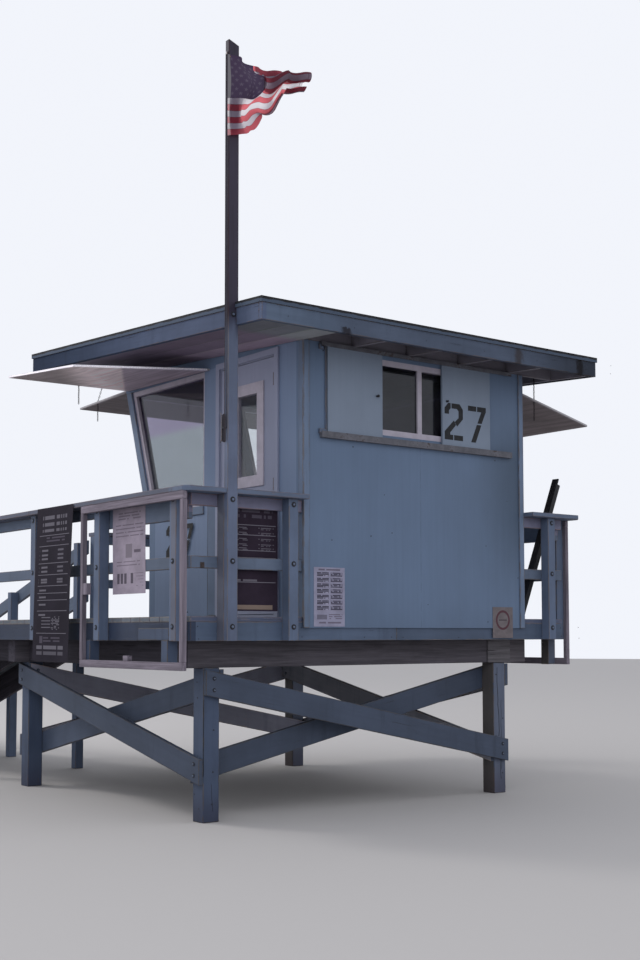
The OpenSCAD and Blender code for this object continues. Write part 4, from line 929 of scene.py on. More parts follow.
halyard = line.build("halyard_line", mat_rope, "rope", "halyard")

cleat = Bits()
cleat.turned((PX, LINE_Y, SHEAVE_Z), LEFT, [(0, 10), (1.5, 10), (2, 8), (6, 8), (6.5, 11), (8, 11)], 16)
cleat.turned((PX, LINE_Y, CLEAT_Z), LEFT, [(0, 9), (6, 7.5), (36, 7.5), (40, 9), (42, 9)], 14)
horn = ((46, -110), (41, -92), (40, -20), (40, 20), (41, 92), (46, 110))
cleat.tube([(PX - x, LINE_Y, CLEAT_Z + z) for x, z in horn], 5, 8)
cleat.build("cleat", mat_bolt, RUSTY)
snaps = Bits()
near = LINE_Y - SHEAVE_R
snap = ((-4, near - 4, 4), (-2, near - 9, 0), (4, PY - 4, -3), (10, PY - 6, 0), (4, PY - 5, 5),
        (-2, near - 7, 7))
for level in (4098, 3516):
    snaps.tube([(PX + x, y, level + z) for x, y, z in snap], 1.8, 6, closed=True)
snaps_obj = snaps.build("flag_snaps", mat_brass, "worn_brass")

# Ramp
RX0, RX1 = 90, 1300
RAMP_BOARD, RAMP_RAIL, RAMP_RAIL_Z, STRINGER = 145, 140, (870, 375), 286
run = RAMP_END - DECK_D
b = Boards(28)
levels = (-BOARD - STRINGER, -BOARD)
feet = [(DECK_D + (DECK_H + z) / RAMP_S, GROUND) for z in levels]
outline = [(DECK_D, levels[0]), *feet, (DECK_D, levels[1])]
for x in (RX0, (RX0 + RX1 - BOARD) / 2, RX1 - BOARD):
    b.plate(outline, "x", x, x + BOARD, grain=(1, -RAMP_S))
b.build("stringer_boards", mat_beam, DARK_WOOD, "ramp_stringers")

b = Boards(29)
step = RAMP_BOARD * math.cos(math.radians(RAMP_ANGLE))
y, last = DECK_D, DECK_D + (DECK_H - BOARD) / RAMP_S
while y < last - 1:
    y1 = min(y + step - DECK_GAP, last)
    slope = (0, y1 - y, ramp_z(y1) - ramp_z(y))
    b.skew((RX0, y, ramp_z(y) - BOARD), (RX1 - RX0, 0, 0), slope, (0, 0, BOARD), 2.5)
    y += step
b.plate([(last, GROUND), (RAMP_END, GROUND), (last, ramp_z(last))], "x", RX0, RX1, grain=(1, -RAMP_S), ch=1)
b.build("ramp_planks", mat_deck, "deck_paint", "ramp_deck")

b, rails = Boards(30), Boards(31)
ramp_y = [DECK_D + 100 + i * (run - 300) / 3 for i in range(4)]
for x in (RX0 - POST, RX1):
    for y in ramp_y:
        b.box((x, x + POST), (y, y + POST), (GROUND, RAMP_RAIL_Z[0] + ramp_z(y + POST)), "z", 3)
y0 = DECK_D + POST
slope = (0, RAMP_END - y0, ramp_z(RAMP_END) - ramp_z(y0))
for x, face, out in ((RX0 - POST - BOARD, 0, LEFT), (RX1 + POST, BOARD, RIGHT)):
    for z in RAMP_RAIL_Z:
        rails.skew((x, y0, ramp_z(y0) + z - RAMP_RAIL), slope, (0, 0, RAMP_RAIL), (BOARD, 0, 0), 2.5)
        for y in ramp_y:
            bolts.bolt((x + face, y + 44, ramp_z(y + 44) + z - RAMP_RAIL / 2), out)
b.build("ramp_timber_posts", mat_post, BLUE_SLOT, "ramp_posts")
rails.build("ramp_rail_boards", mat_rail, BLUE_SLOT, "ramp_rails")


# Cloth

def sheet(name, point, steps, mat, slot, nodes):
    """A cloth made of a grid of points, with the place on the flat cloth kept for its pattern."""
    n, m = steps
    shares = [(i / n, j / m, 0) for j in range(m + 1) for i in range(n + 1)]
    faces = [(k, k + 1, k + n + 2, k + n + 1) for j in range(m) for k in range(j * (n + 1), j * (n + 1) + n)]
    obj = piece(name, [at(*point(u, v)) for u, v, _ in shares], faces, mat, slot, nodes, [True] * len(faces),
                cloth=shares)


def curve(points, t):
    """Smooth interpolation through (t, value) points."""
    k = 0
    while k < len(points) - 2 and t > points[k + 1][0]:
        k += 1
    (t0, a), (t1, b) = points[k], points[k + 1]
    m = []
    for i in (k, k + 1):
        lo, hi = points[max(0, i - 1)], points[min(len(points) - 1, i + 1)]
        m.append((hi[1] - lo[1]) / (hi[0] - lo[0]) * (t1 - t0))
    x = min(1, max(0, (t - t0) / (t1 - t0)))
    return (a * (2 * x ** 3 - 3 * x ** 2 + 1) + m[0] * (x ** 3 - 2 * x ** 2 + x)
            + b * (3 * x ** 2 - 2 * x ** 3) + m[1] * (x ** 3 - x ** 2))


# The flag streams from the line on the pole, gathered more and more towards its fly
FLAG_W, FLAG_H, FLAG_N, FLAG_M = 914, 610, 96, 66
FLAG_GATHER = [(0, 1), (0.1, 0.98), (0.2, 0.92), (0.27, 0.87), (0.33, 0.83), (0.39, 0.71), (0.5, 0.64),
               (0.64, 0.56), (0.73, 0.3), (0.82, 0.2), (1, 0.14)]
FLAG_TURN = [(0, 0), (0.09, 0), (0.16, 38), (0.35, 35), (0.48, -16), (0.8, -16), (1, -12)]
FLAG_SWING = [(0, 0), (0.1, 4), (0.25, 20), (0.4, 36), (0.55, 62), (0.85, 62), (1, 54)]
FLAG_TOP = [(0, 4112), (0.1, 4121), (0.25, 4140), (0.4, 4152), (0.5, 4170), (0.6, 4160), (0.7, 4142),
            (0.8, 4152), (1, 4138)]


def bend_for(gather):
    """The swing of a meander whose height is this share of its length."""
    lo, hi = 0, 2.4
    for _ in range(24):
        mid = (lo + hi) / 2
        share = sum(math.cos(mid * math.sin(math.pi * (i + 0.5) / 40)) for i in range(40)) / 40
        lo, hi = (mid, hi) if share > gather else (lo, mid)
    return lo


def flag_grid(n, m):
    grid, x, y = [], 208, PY - 4
    for i in range(n + 1):
        u = i / n
        mean = math.radians(curve(FLAG_TURN, u))
        yaw = mean + math.radians(curve(FLAG_SWING, u)) * math.sin(2 * math.pi * (u - 0.12) * 3.4)
        if i:
            x += FLAG_W / n * math.cos(yaw)
            y += FLAG_W / n * math.sin(yaw)
        swing = bend_for(curve(FLAG_GATHER, u))
        side = Vector((math.sin(mean), -math.cos(mean), 0))
        p = Vector((x, y, curve(FLAG_TOP, u)))
        column = [p]
        for j in range(m):
            w = (j + 0.5) / m
            a = swing * math.sin(2 * math.pi * 1.5 * w * (1 - 0.12 * w) - 0.5 * u)
            p = p + (side * math.sin(a) - Vector((0, 0, math.cos(a)))) * (FLAG_H / m)
            column.append(p)
        grid.append(column)
    return grid


STRIPES, CANTON_W, CANTON_ROWS = 13, 0.4, 7


def flag_material():
    g = Graph("flag_cloth")
    u, v, _ = g.xyz(g.attr("cloth"))
    flat = g.join(u * (FLAG_W / 1000), v * (FLAG_H / 1000), 0)
    band = v * STRIPES
    red = g.math("MODULO", band, 2) < 1
    # The front colours, here and in the canton, are the cloth's colours darkened, partly a painted shade, so
    # white is a mauve grey. The light through the cloth keeps bright colours
    base = g.mix(red, (0.3, 0.25, 0.33), (0.24, 0.022, 0.048))
    shine = g.mix(red, (1, 0.97, 1), (0.95, 0.22, 0.25))
    # The canton with its rows of stars
    a, b = u * (12 / CANTON_W), v * (10 * STRIPES / CANTON_ROWS)
    ia, ib = g.math("ROUND", a), g.math("ROUND", b)
    da, db = (a - ia) * 30.5, (b - ib) * 32.8
    five = g.math("COSINE", g.math("ARCTAN2", da, db * -1) * 5)
    star = (g.math("SQRT", da * da + db * db) < 9.5 + five * 4) * (g.math("MODULO", ia + ib, 2) < 0.5)
    star = star * (ia > 0.5) * (ia < 11.5) * (ib > 0.5) * (ib < 9.5)
    canton = (u < CANTON_W) * (v < CANTON_ROWS / STRIPES)
    base = g.mix(canton, base, g.mix(star, (0.15, 0.102, 0.19), (0.23, 0.185, 0.27)))
    shine = g.mix(canton, shine, g.mix(star, (0.018, 0.014, 0.028), (0.055, 0.045, 0.065)))
    # Seams between the stripes, hems, grime and the white heading at the pole
    seam = g.step(abs(g.math("FRACT", band + 0.5) - 0.5), 0.02, 0.06, 1, 0)
    hem = g.step(abs(u - 0.975), 0.0015, 0.003, 1, 0)
    seam = g.math("MAXIMUM", seam * (1 - canton), hem)
    base = g.mix(seam * 0.45, base, (0.1, 0.03, 0.05))
    shine = g.mix(seam * 0.6, shine, (0.22, 0.04, 0.06))
    base = g.mix(g.step(g.noise(flat, 7, 4, 0.6), 0.4, 0.75) * 0.25, base, (0.14, 0.11, 0.15))
    base = g.mix(g.step(u, 0.02, 0.022, 1, 0), base, (0.42, 0.4, 0.42))
    # Painted shade over the upper part of the fly and along its lower edge: darker in front, and less light
    # through
    ragged = v + (g.noise(flat, 5, 3, 0.5) - 0.5) * 0.22
    fold_shade = g.step(ragged, 0.5, 0.53, 1, 0) * g.step(u, 0.41, 0.43)
    fold_shade = g.math("MAXIMUM", fold_shade, g.step(ragged, 0.8, 0.84) * g.step(u, 0.4, 0.48))
    shine = g.mix(fold_shade * 0.85, shine, g.tint(shine, (0.16, 0.1, 0.15)))
    base = g.mix(fold_shade * 0.5, base, (0.055, 0.036, 0.055))
    weave, folds = g.noise(flat, (900, 900, 1), 2, 0.5), g.noise(flat, (16, 5, 1), 3, 0.55)
    normal = g.bump(weave * 0.15 + (folds - seam * 0.2), 0.5, 0.006)
    front = g.principled(base, 0.75, 0.2, Normal=normal)
    return g.done(g.blend(0.6, front, g.fill("BsdfTranslucent", {0: shine, "Normal": normal})))


flag_points = flag_grid(FLAG_N, FLAG_M)
sheet("flag_cloth", lambda u, v: flag_points[round(u * FLAG_N)][round(v * FLAG_M)],
      (FLAG_N, FLAG_M), flag_material(), "flag_cloth", ["flag"])


# Banners and notices with plain rules, bars and shapes for print

class Print(Graph):
    """A printed sheet's colours. Places are shares of its width and height, from its upper left corner."""

    def __init__(self, name, ground):
        super().__init__(name)
        self.u, self.v, _ = self.xyz(self.attr("cloth"))
        self.flat = self.join(self.u, self.v, 0)
        cloud = self.step(self.noise(self.flat, (3, 5, 1), 4, 0.6), 0.3, 0.7)
        self.color = self.mix(cloud, shade(ground, 0.85), shade(ground, 1.12))

    def ink(self, mask, color, strength):
        self.color = self.mix(mask * strength, self.color, color)

    def inside(self, x0, y0, x1, y1):
        return (self.u > x0) * (self.u < x1) * (self.v > y0) * (self.v < y1)

    def block(self, area, color, strength=0.85):
        self.ink(self.inside(*area), color, strength)

    def rows(self, area, count, color, fill=0.4, broken=0.25, pieces=14, strength=0.8):
        """Plain bars in rows, each row broken up and ended at a random place."""
        row = (self.v - area[1]) * (count / (area[3] - area[1]))
        cell = self.join(self.math("FLOOR", self.u * pieces), self.math("FLOOR", row), 0)
        shown = self.fill("TexWhiteNoise", {"Vector": cell}, noise_dimensions="2D") > broken
        self.ink((self.math("FRACT", row) < fill) * shown * self.inside(*area), color, strength)

    def rule(self, v, x0, x1, color, thick=0.004):
        self.block((x0, v - thick / 2, x1, v + thick / 2), color, 0.75)

    def finished(self, rough=0.85):
        folds, weave = self.noise(self.flat, (5, 3, 1), 4, 0.6), self.noise(self.flat, (300, 500, 1), 2, 0.5)
        return self.shader(self.color, rough, self.bump(folds + weave * 0.06, 0.4, 0.004), 0.12)


PALE, FAINT, INK, GREY_INK = (0.2, 0.19, 0.225), (0.085, 0.075, 0.1), (0.075, 0.06, 0.085), (0.09, 0.07, 0.1)

tall = Print("tall_banner", (0.019, 0.016, 0.025))
for v0, v1 in ((0.055, 0.085), (0.1, 0.128), (0.142, 0.165)):
    tall.rows((0.18, v0, 0.84, v1), 1, PALE, 0.8, 0.3, 34, 0.55)
tall.rows((0.3, 0.195, 0.8, 0.235), 2, FAINT, 0.5, 0.2, 18)
for v in (0.183, 0.252, 0.365, 0.44, 0.512, 0.56, 0.605, 0.675, 0.82):
    tall.rule(v, 0.1, 0.92, PALE)
for v in (0.275, 0.305, 0.33, 0.385, 0.412, 0.465, 0.482):
    tall.rows((0.12, v, 0.36, v + 0.014), 1, PALE, 0.9, 0.35, 16, 0.6)
    tall.rows((0.6, v, 0.78, v + 0.014), 1, PALE, 0.9, 0.35, 16, 0.5)
for v in (0.535, 0.58, 0.628, 0.695):
    tall.rows((0.1, v, 0.34, v + 0.013), 1, PALE, 0.9, 0.3, 20, 0.6)
tall.rows((0.24, 0.715, 0.48, 0.8), 4, PALE, 0.3, 0.1, 12, 0.6)
tall.rows((0.5, 0.712, 0.72, 0.802), 9, PALE, 0.55, 0.45, 36, 0.7)
tall.rows((0.3, 0.845, 0.74, 0.885), 2, FAINT, 0.5, 0.25, 16)
tall.block((0.2, 0.838, 0.28, 0.885), FAINT)
tall.rows((0.1, 0.9, 0.84, 0.925), 1, PALE, 0.95, 0.12, 26, 0.6)
tall.rows((0.1, 0.938, 0.84, 0.962), 1, PALE, 0.95, 0.2, 26, 0.4)

low = Print("rear_banner", (0.03, 0.021, 0.034))
low.rows((0.1, 0.08, 0.9, 0.18), 2, FAINT, 0.6, 0.3, 26)
for v in (0.225, 0.315, 0.455, 0.52, 0.74):
    low.rule(v, 0.04, 0.96, PALE, 0.007)
for v in (0.245, 0.29, 0.345, 0.395, 0.43):
    low.rows((0.06, v, 0.42, v + 0.026), 2, PALE, 0.55, 0.45, 40, 0.6)
    low.rows((0.62, v, 0.94, v + 0.026), 2, PALE, 0.55, 0.5, 40, 0.55)
low.rows((0.06, 0.715, 0.6, 0.735), 1, PALE, 0.9, 0.3, 24, 0.6)
low.rows((0.2, 0.56, 0.9, 0.64), 2, FAINT, 0.3, 0.5, 22, 0.5)
low.block((0, 0.945, 0.9, 0.985), (0.23, 0.175, 0.145), 0.9)

notice = Print("rail_notice", (0.3, 0.26, 0.32))
notice.rows((0.18, 0.05, 0.86, 0.15), 3, INK, 0.45, 0.2, 22, 0.55)
notice.rows((0.1, 0.19, 0.94, 0.36), 4, INK, 0.3, 0.1, 26, 0.6)
notice.block((0.4, 0.42, 0.6, 0.58), (0.16, 0.14, 0.17), 0.8)
notice.block((0.66, 0.49, 0.86, 0.525), INK, 0.8)
notice.rows((0.12, 0.62, 0.84, 0.7), 2, INK, 0.28, 0.15, 24, 0.6)
for x in (0.14, 0.25, 0.36, 0.56):
    notice.block((x, 0.76, x + 0.075, 0.88), (0.035, 0.03, 0.045), 0.8)
notice.rows((0.66, 0.76, 0.94, 0.94), 5, INK, 0.2, 0.3, 18, 0.5)

poster = Print("wall_poster", (0.27, 0.265, 0.36))
poster.rows((0.12, 0.025, 0.88, 0.055), 1, GREY_INK, 0.9, 0.15, 20)
for k in range(7):
    v = 0.085 + k * 0.095
    poster.rows((0.1, v, 0.48, v + 0.07), 3, (0.022, 0.018, 0.032), 0.72, 0.15, 30, 0.95)
    poster.rows((0.54, v, 0.92, v + 0.07), 3, (0.022, 0.018, 0.035), 0.72, 0.18, 30, 0.95)
    poster.rule(v + 0.078, 0.08, 0.92, (0.2, 0.17, 0.22))
poster.block((0.1, 0.8, 0.42, 0.88), (0.035, 0.028, 0.042), 0.55)
poster.rows((0.48, 0.79, 0.92, 0.89), 3, GREY_INK, 0.5, 0.25, 20, 0.7)
poster.rows((0.12, 0.92, 0.88, 0.96), 1, GREY_INK, 0.7, 0.2, 18, 0.7)

sign = Print("wall_plate", (0.145, 0.126, 0.134))
across, down = sign.u - 0.5, (sign.v - 0.42) * 1.1
from_middle = sign.math("SQRT", across * across + down * down)
sign.block((0.3, 0.4, 0.7, 0.44), (0.045, 0.035, 0.045), 0.8)
sign.ink((from_middle > 0.27) * (from_middle < 0.35), (0.078, 0.03, 0.042), 0.95)


def hanging(name, corners, steps, mat, wave):
    """A sheet between four corners: top left, top right, lower left and lower right, seen from outside."""
    a, b, c, d = (Vector(k) for k in corners)
    out = (b - a).cross(c - a).normalized()

    def point(u, v):
        return (a * (1 - u) + b * u) * (1 - v) + (c * (1 - u) + d * u) * v - out * wave(u, v)
    sheet(name, point, steps, mat, "banner_cloth", ["banners"])


def tall_wave(u, v):
    edge = 6 + 5 * math.sin(5.2 * u + 0.7) * (0.4 + 0.6 * v)
    return edge + 7 * v * math.sin(3.1 * v + 2 * u) + 2 * math.sin(17 * v + 3 * u) * u * (1 - u)


def rear_wave(u, v):
    return -1.5 - 1.2 * math.sin(9 * v) * math.sin(7 * u) ** 2


hanging("tall_banner", ((-CAP_EDGE - 3, 2210, RAIL_H - 2), (-CAP_EDGE - 3, 1562, RAIL_H - 5),
                        (-CAP_EDGE - 8, 2262, -346), (-CAP_EDGE - 8, 1640, -350)),
        (26, 52), tall.finished(), tall_wave)
hanging("rear_banner", [(x, BOARD + 3, z) for z in (865, 42) for x in (321, 792)],
        (20, 34), low.finished(), rear_wave)


def board(name, corners, steps, mat, thick, wave=lambda u, v: 0):
    """A thin printed board or stiff sheet with its print on the face and its edges turned in."""
    a, b, c = (Vector(k) for k in corners)
    out = (c - a).cross(b - a).normalized()
    n, m = steps
    cloth = [(i / n, j / m, float(side)) for side in (0, 1) for j in range(m + 1) for i in range(n + 1)]
    verts = [at(*(a + (b - a) * u + (c - a) * v + out * (wave(u, v) + thick * (1 - side))))
             for u, v, side in cloth]
    faces, back = [], (n + 1) * (m + 1)
    for j in range(m):
        for q in range(j * (n + 1), j * (n + 1) + n):
            faces.append((q, q + n + 1, q + n + 2, q + 1))
            faces.append((back + q, back + q + 1, back + q + n + 2, back + q + n + 1))
    rim = [*range(n), *[j * (n + 1) + n for j in range(m)], *[m * (n + 1) + i for i in range(n, 0, -1)],
           *[j * (n + 1) for j in range(m, 0, -1)]]
    faces += [(q, r, back + r, back + q) for q, r in zip(rim, rim[1:] + rim[:1])]
    piece(name, verts, faces, mat, "notice_board", ["notices"], cloth=cloth)


def on_wall(x0, x1, z_top, z_low):
    return (x0, TRIM_Y - 0.1, z_top), (x1, TRIM_Y - 0.1, z_top), (x0, TRIM_Y - 0.1, z_low)


corners = ((-0.4, 1150, 842), (-0.4, 644, 842), (-0.4, 1140, 180))
board("rail_notice", corners, (14, 18), notice.finished(0.7), 1.5,
      lambda u, v: 1.2 + 1.4 * math.sin(3 * u + 4 * v) ** 2)
board("wall_poster", on_wall(1091, 1391, 383, -71), (1, 1), poster.finished(0.55), 2.5)
board("wall_plate", on_wall(2995, 3234, 99, -164), (1, 1), sign.finished(0.45), 3)

# Chains of the awnings
links = Bits()
LINK_L, LINK_W, WIRE, TAIL = 27, 15, 2.4, 150


def link(p, axis, side):
    """One oval link with its middle at p, its long way along axis and its flat way along side."""
    p, axis, side = Vector(p), Vector(axis).normalized(), Vector(side).normalized()
    path = []
    for i in range(12):
        across, along = math.cos(2 * math.pi * i / 12), math.sin(2 * math.pi * i / 12)
        half = 1 if along > 0.01 else -1 if along < -0.01 else 0
        path.append(p + side * (LINK_W / 2 - WIRE) * across
                    + axis * ((LINK_L / 2 - LINK_W / 2) * half + (LINK_W / 2 - WIRE) * along))
    links.tube(path, WIRE, 5, closed=True)


def chain(x0, y0, z0, x1, y1, z1):
    """Links from the roof to an eye through the panel, and a loose tail below it."""
    a, c = Vector((x0, y0, z0)), Vector((x1, y1, z1))
    d = (c - a).normalized()
    side = d.cross(Vector((0.3, 1, 0.1))).normalized()
    n = max(2, int((c - a).length / 21.5))
    for i in range(n):
        link(a + (c - a) * ((i + 0.5) / n), d, side if i % 2 else d.cross(side))
    links.turned(c - Vector((0, 0, 2)), (0, 0, 1), [(0, 9), (2.5, 9), (3, 6)], 12)
    links.turned(c - Vector((0, 0, 18.5 + 3)), (0, 0, 1), [(0, 9), (2.5, 9)], 12)
    z, k = c.z - 22, 0
    while z > c.z - 18 - TAIL:
        link((c.x + 1.2 * math.sin(k * 1.3), c.y + 1.2 * math.cos(k), z - 10), (0.03 * math.sin(k), 0, 1),
             (1, 0.2, 0) if k % 2 else (0.2, -1, 0))
        z -= 20.5
        k += 1


# Awnings: weathered plywood on the open underside, paint on top
HINGE_Z, FRONT_Z, RIGHT_Z = 2116, 2140, 2065
HINGE_Y = front_y(FRONT_Z)
LEFT_LENGTH, LEFT_REACH, LEFT_FAR_REACH = 1380, 1275, 1199
LEFT_DROP, LEFT_FAR_DROP = 122, 13
LEFT_Y0 = LEFT_WINDOW - 80
LEFT_Y1 = LEFT_Y0 + LEFT_LENGTH
FRONT_REACH, FRONT_DROP, RIGHT_REACH, RIGHT_DROP, RIGHT_END = 924, 35, 1060, 250, 2600
b = Boards(32)


def panel(*tops, t=18):
    """Top corners: near outer, near inner, far inner, far outer."""
    d = Vector((0, 0, -t))
    b.hexa([q for i in (0, 1, 3, 2) for q in (Vector(tops[i]) + d, tops[i])], 1.5)


panel((CABIN_L - LEFT_REACH, LEFT_Y0, HINGE_Z - LEFT_DROP), (CABIN_L, LEFT_Y0, HINGE_Z),
      (CABIN_L, LEFT_Y1, FRONT_Z), (CABIN_L - LEFT_FAR_REACH, LEFT_Y1, FRONT_Z - LEFT_FAR_DROP))
y, z = HINGE_Y + FRONT_REACH, FRONT_Z - FRONT_DROP
panel((CABIN_L, HINGE_Y, FRONT_Z), (CABIN_L, y, z), (CABIN_R, y, z), (CABIN_R, HINGE_Y, FRONT_Z))
x, z = CABIN_R + RIGHT_REACH, RIGHT_Z - RIGHT_DROP
panel((CABIN_R, RIGHT_WINDOW, RIGHT_Z), (x, RIGHT_WINDOW, z), (x, RIGHT_END, z),
      (CABIN_R, RIGHT_END, RIGHT_Z))


def awning_material():
    g = Graph("awning_plywood")
    moved, _, edge = board_inputs(g)
    nz = g.facing()[2]
    under, upper = g.step(nz, -0.6, -0.4, 1, 0), g.step(nz, 0.4, 0.6)
    cloud = g.noise(g.place, 2.2, 5, 0.6)
    grain = g.noise(moved, (1.5, 18, 18), 4, 0.6, 0.8)
    fine = g.noise(moved, (4, 160, 160), 3, 0.6)
    bare = g.mix(g.step(grain, 0.3, 0.7), (0.175, 0.145, 0.15), (0.26, 0.22, 0.225))
    bare = g.mix(g.step(cloud, 0.45, 0.75) * 0.5, bare, (0.12, 0.1, 0.105))
    paint = g.mix(g.step(cloud, 0.3, 0.7), (0.32, 0.36, 0.42), (0.42, 0.45, 0.5))
    rim = g.mix(g.step(fine, 0.3, 0.7), (0.3, 0.29, 0.31), (0.48, 0.46, 0.48))
    base = g.mix(upper, g.mix(under, rim, bare), paint)
    base = g.mix(g.step(edge, 0.018, 0.026, 1, 0) * under * 0.6, base, (0.3, 0.28, 0.29))
    # Painted light on the left panel's underside and edges
    base = painted_light_and_tints(g, base, (("x<-1.1 nz<-0.4", (2.6, 2.6, 2.55)), ("x<-1.1 nz>-0.4 nz<0.4", (2.4, 2.4, 2.4))))
    # Painted light and shade: the left panel's underside is lighter out to a slanting line, and darker past
    # it
    x, y, _ = g.xyz(g.place)
    past = x + 0.125 - y * 0.577
    lit = g.step(past, -0.66, -0.26, 0.58, 1.8)
    light = g.mix(g.step(past, -0.02, 0.02), g.join(lit, lit, lit), (0.93, 0.91, 1.05))
    base = g.mix(under * (x < -1.05), base, g.tint(base, light))
    return g.shader(base, 0.8, g.bump(fine + grain, 0.35, 0.002), 0.25)


b.build("awning_panels", awning_material(), "bare_boards", "awnings")

# The chains' places on the awnings
LEFT_K, FRONT_K = LEFT_FAR_DROP / LEFT_FAR_REACH, FRONT_DROP / FRONT_REACH
RIGHT_K = RIGHT_DROP / RIGHT_REACH
LEFT_TWIST = (FRONT_Z - LEFT_K * LEFT_REACH - (HINGE_Z - LEFT_DROP)) / LEFT_LENGTH
xl, yl, xr, yr, yf = CABIN_L - 530, LEFT_Y1 - 20, ROOF_R - 90, 180, ROOF_Y1 + 100
chain(xl, yl, soffit(yl) + 118, xl, yl, FRONT_Z - LEFT_K * 530 - LEFT_TWIST * 20)
chain(xr, yr, soffit(yr) + 118, xr, yr, RIGHT_Z - RIGHT_K * (xr - CABIN_R))
y0 = ROOF_Y1 - BOARD / 2
for x in (CABIN_L + 20, CABIN_R - 20):
    chain(x, y0, soffit(y0) - 9, x, yf, FRONT_Z - FRONT_K * (yf - HINGE_Y))
links.build("chain_links", mat_chain, RUSTY, "awning_chains")

# Stencilled numbers, as generic plain figures with stencil gaps
STENCIL = {
    "2": [[(0, .7), (.24, .7), (.24, .8), (.33, .86), (.33, 1), (.2, 1), (0, .86)],
          [(.38, .86), (.67, .86), (.76, .8), (.76, .62), (.55, .5), (.68, .38), (1, .6), (1, .86), (.82, 1),
           (.38, 1)],
          [(0, 0), (.46, 0), (.46, .14), (.3, .14), (.3, .2), (.62, .42), (.5, .54), (0, .22)],
          [(.51, 0), (1, 0), (1, .14), (.51, .14)]],
    "7": [[(0, .86), (.46, .86), (.46, 1), (0, 1)],
          [(.51, .86), (.74, .86), (.52, .54), (.76, .54), (1, .88), (1, 1), (.51, 1)],
          [(.16, 0), (.42, 0), (.74, .5), (.49, .5)]],
}
ink = Bits()


def stencil(text, origin, across, size, out, gap=60, thick=0.6):
    """Figures of size (width, height) from origin, running across, standing proud along out."""
    origin, across, out, up = Vector(origin), Vector(across), Vector(out), Vector((0, 0, 1))
    for i, figure in enumerate(text):
        left = i * (size[0] + gap)
        for part in STENCIL[figure]:
            pts = [origin + across * (left + x * size[0]) + up * (y * size[1]) for x, y in part]
            m = len(pts)
            verts = [at(*(p + out * height)) for height in (0.1, thick) for p in pts]
            faces = [list(range(m))[::-1], [m + k for k in range(m)]]
            faces += [[k, (k + 1) % m, m + (k + 1) % m, m + k] for k in range(m)]
            if across.cross(up).dot(out) < 0:
                faces = [f[::-1] for f in faces]
            ink.add(verts, faces)


stencil("27", (2436, SHUT_Y, 1482), RIGHT, (208, 308), REAR)
stencil("27", (CABIN_L - TRIM_T, 2000, 535), REAR, (190, 285), LEFT)
ink.build("stencilled_numbers", mat_black, DARK_METAL)

# Track brackets, shutter knob, a wall hook and the paper behind the window
b = Boards(33)
b.box((1136, 1186), (TRIM_Y - 20, TRIM_Y), (2072, 2112), "x", 3)
b.box((1136, 1205), (TRIM_Y - 22, TRIM_Y), (1416, 1452), "x", 3)
b.box((1199, 1207), (TRIM_Y - 14, TRIM_Y), (1452, 2112), "z", 1)
b.build("shutter_brackets", mat_post, BLUE_SLOT)
small = Bits()
small.turned((1705, SHUT_Y, 1760), REAR, [(0, 9), (3, 9), (4, 6), (16, 6), (18, 11), (26, 11), (28, 8)], 14)
small.turned((2462, SHUT_Y, 1800), REAR, [(0, 10), (3, 10), (4, 6), (14, 6), (16, 9), (20, 8)], 12)
hook = ((21, 2096), (40, 2092), (46, 2070), (38, 2052), (26, 2056))
small.tube([(1160, TRIM_Y - out, z) for out, z in hook], 3, 6)
for x, z, r in ((1268, 596, 5), (1660, 644, 6), (1878, 678, 5), (2925, 615, 5), (3306, 353, 5),
                (2940, -28, 5), (1480, 1338, 6), (3040, 1352, 6), (2260, 110, 4), (1800, 980, 4),
                (3180, 1010, 4)):
    small.turned((x, TRIM_Y, z), REAR, [(0, r), (1.2, r * 0.8)])
for y, z, r in ((1913, 330, 9), (1909, 395, 8), (1294, 282, 8), (1202, 312, 7), (1640, 60, 7), (1240, 60, 7)):
    small.turned((CABIN_L - TRIM_T, y, z), LEFT, [(0, r), (1.5, r * 0.8)])
small.build("small_fittings", mat_dark_metal_and_recess_shade, DARK_METAL)
b = Boards(34)
b.box((1800, 1935), (31, 33), (1532, 1573), "x", 0.4)
b.build("window_paper", mat_paper, "notice_board")


def roof_material():
    """Grit above, wood below. The upper part of the edge is dark covering, and the rest painted board."""
    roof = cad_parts["roof_deck"]
    corners = [roof.matrix_world @ v.co for v in roof.data.vertices]
    ends = [min(c.y for c in corners), max(c.y for c in corners)]
    tops = [max(c.z for c in corners if abs(c.y - y) < 0.06) for y in ends]
    g = Graph("roof_sheet")
    _, y, z = g.xyz(g.place)
    nz = g.facing()[2]
    grit = g.noise(g.place, 240, 3, 0.7)
    base = g.mix(g.step(grit, 0.35, 0.65), (0.12, 0.125, 0.135), (0.24, 0.24, 0.25))
    base = g.mix(g.step(g.noise(g.place, 1.6, 5, 0.6), 0.4, 0.7) * 0.5, base, (0.1, 0.1, 0.11))
    lap = g.math("FRACT", g.math("DIVIDE", y + 10, 0.914))
    base = g.mix(g.step(lap, 0, 0.012, 1, 0) * 0.7, base, (0.03, 0.03, 0.032))
    slope = (tops[1] - tops[0]) / (ends[1] - ends[0])
    below = (y - ends[0]) * slope + tops[0] - z + (g.noise(g.place, 9, 5, 0.7) - 0.5) * 0.028
    felt = g.mix(g.noise(g.place, 30, 3, 0.6), (0.01, 0.01, 0.012), (0.026, 0.027, 0.031))
    edge = g.mix(g.step(below, 0.017, 0.02), felt, shade(BLUE_DARK, 0.62))
    wood = g.step(g.noise(g.place, (2, 30, 30), 4, 0.6), 0.3, 0.7)
    wood = g.mix(wood, (0.1, 0.105, 0.13), (0.15, 0.155, 0.185))
    base = g.mix(g.step(nz, -0.7, -0.5, 1, 0), g.mix(g.step(nz, 0.5, 0.7), edge, base), wood)
    return g.shader(base, 0.85, g.bump(grit, 0.4, 0.002), 0.25)


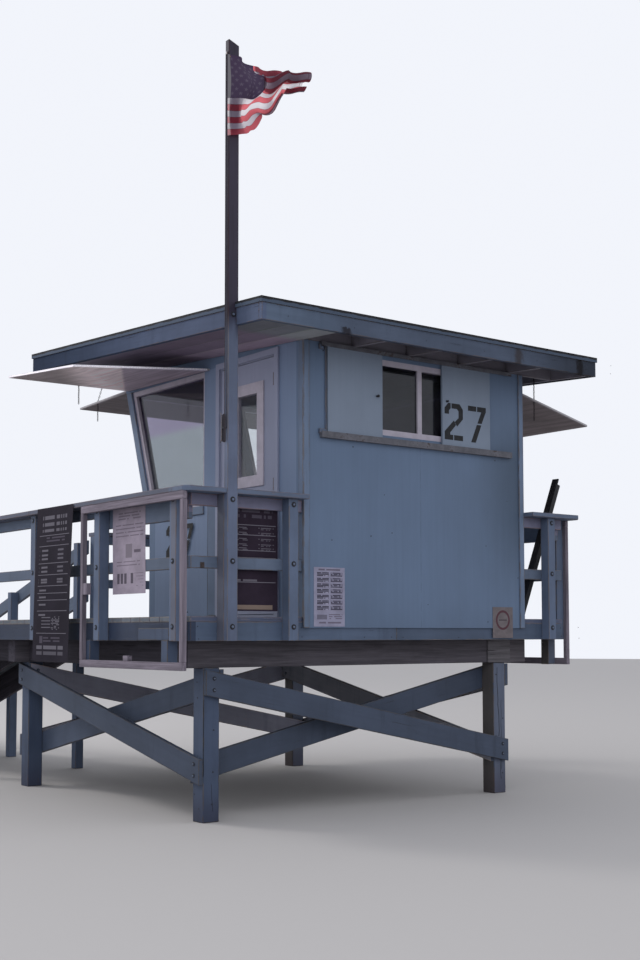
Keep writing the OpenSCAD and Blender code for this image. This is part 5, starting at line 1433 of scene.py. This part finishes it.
# CAD nodes that keep their meshes
for node in ("rear_wall", "right_wall", "front_wall", "wall_header"):
    dress(node, mat_wall)
for node in ("wall_beside_door", "left_wall"):
    dress(node, mat_wall_left_lit)
for node, mat, bevel in (("shutters", mat_inside, 2), ("shutter_tracks", mat_track, 1.2),
                         ("door_frame", mat_door_lit, 1.5), ("door_leaf", mat_door_lit, 2),
                         ("window_frames", mat_white, 2), ("door_window_frame", mat_white, 2),
                         ("window_glass", mat_glass, 0), ("door_glass", mat_glass_door, 0),
                         ("door_knob", mat_brass, 0), ("door_hinges", mat_bolt, 0.8),
                         ("cabin_floor", mat_floor_in, 2), ("leaning_channel", mat_dark, 1),
                         ("roof_deck", roof_material(), 3)):
    dress(node, mat, bevel)
# The bolts' dark rings, painted shade of their recesses, and the nails
bolts.build("bolt_recess_shades_and_nails", mat_dark_metal_and_recess_shade, DARK_METAL)
heads.build("bolt_heads", mat_head, BLUE_SLOT)

# Floor and light
FLOOR_R, SIDES = 60, 48
mesh = bpy.data.meshes.new("floor")
turns = [2 * math.pi * i / SIDES for i in range(SIDES)]
rim = [(FLOOR_R * math.cos(t), FLOOR_R * math.sin(t), 0) for t in turns]
mesh.from_pydata(rim, [], [list(range(SIDES))])
g = Graph("floor_grey")
mesh.materials.append(g.done(g.principled((0.44, 0.425, 0.42), 0.9, 0.1)))
floor = bpy.data.objects.new("floor", mesh)
scene.collection.objects.link(floor)

world = bpy.data.worlds.new("world")
scene.world = world
world.use_nodes = True
sky = world.node_tree.nodes.get("Background") or world.node_tree.nodes.new("ShaderNodeBackground")
sky.inputs[0].default_value = (0.915, 0.938, 1, 1)
sky.inputs[1].default_value = 0.97


def area(name, place, target, size, energy, color):
    data = bpy.data.lights.new(name, "AREA")
    data.shape = "DISK"
    data.size = size
    data.energy = energy
    data.color = color
    obj = bpy.data.objects.new(name, data)
    scene.collection.objects.link(obj)
    obj.location = place
    obj.rotation_euler = (Vector(target) - Vector(place)).to_track_quat("-Z", "Y").to_euler()
    obj.visible_camera = False
    return data


area("key", (-9, 12, 14), (0, -2, 2), 5, 1500, (1, 0.97, 0.93))
area("fill", (-9, -14, 7), (0, -3, 2.2), 8, 220, (0.93, 0.96, 1))
eaves = area("eaves", (-3.6, -2.3, 3.35), (-1.5, -2.3, 3.72), 4.4, 6, (1, 0.88, 0.95))
eaves.shape, eaves.size_y = "RECTANGLE", 0.3
scene.view_settings.view_transform = "Standard"
scene.view_settings.look = "None"
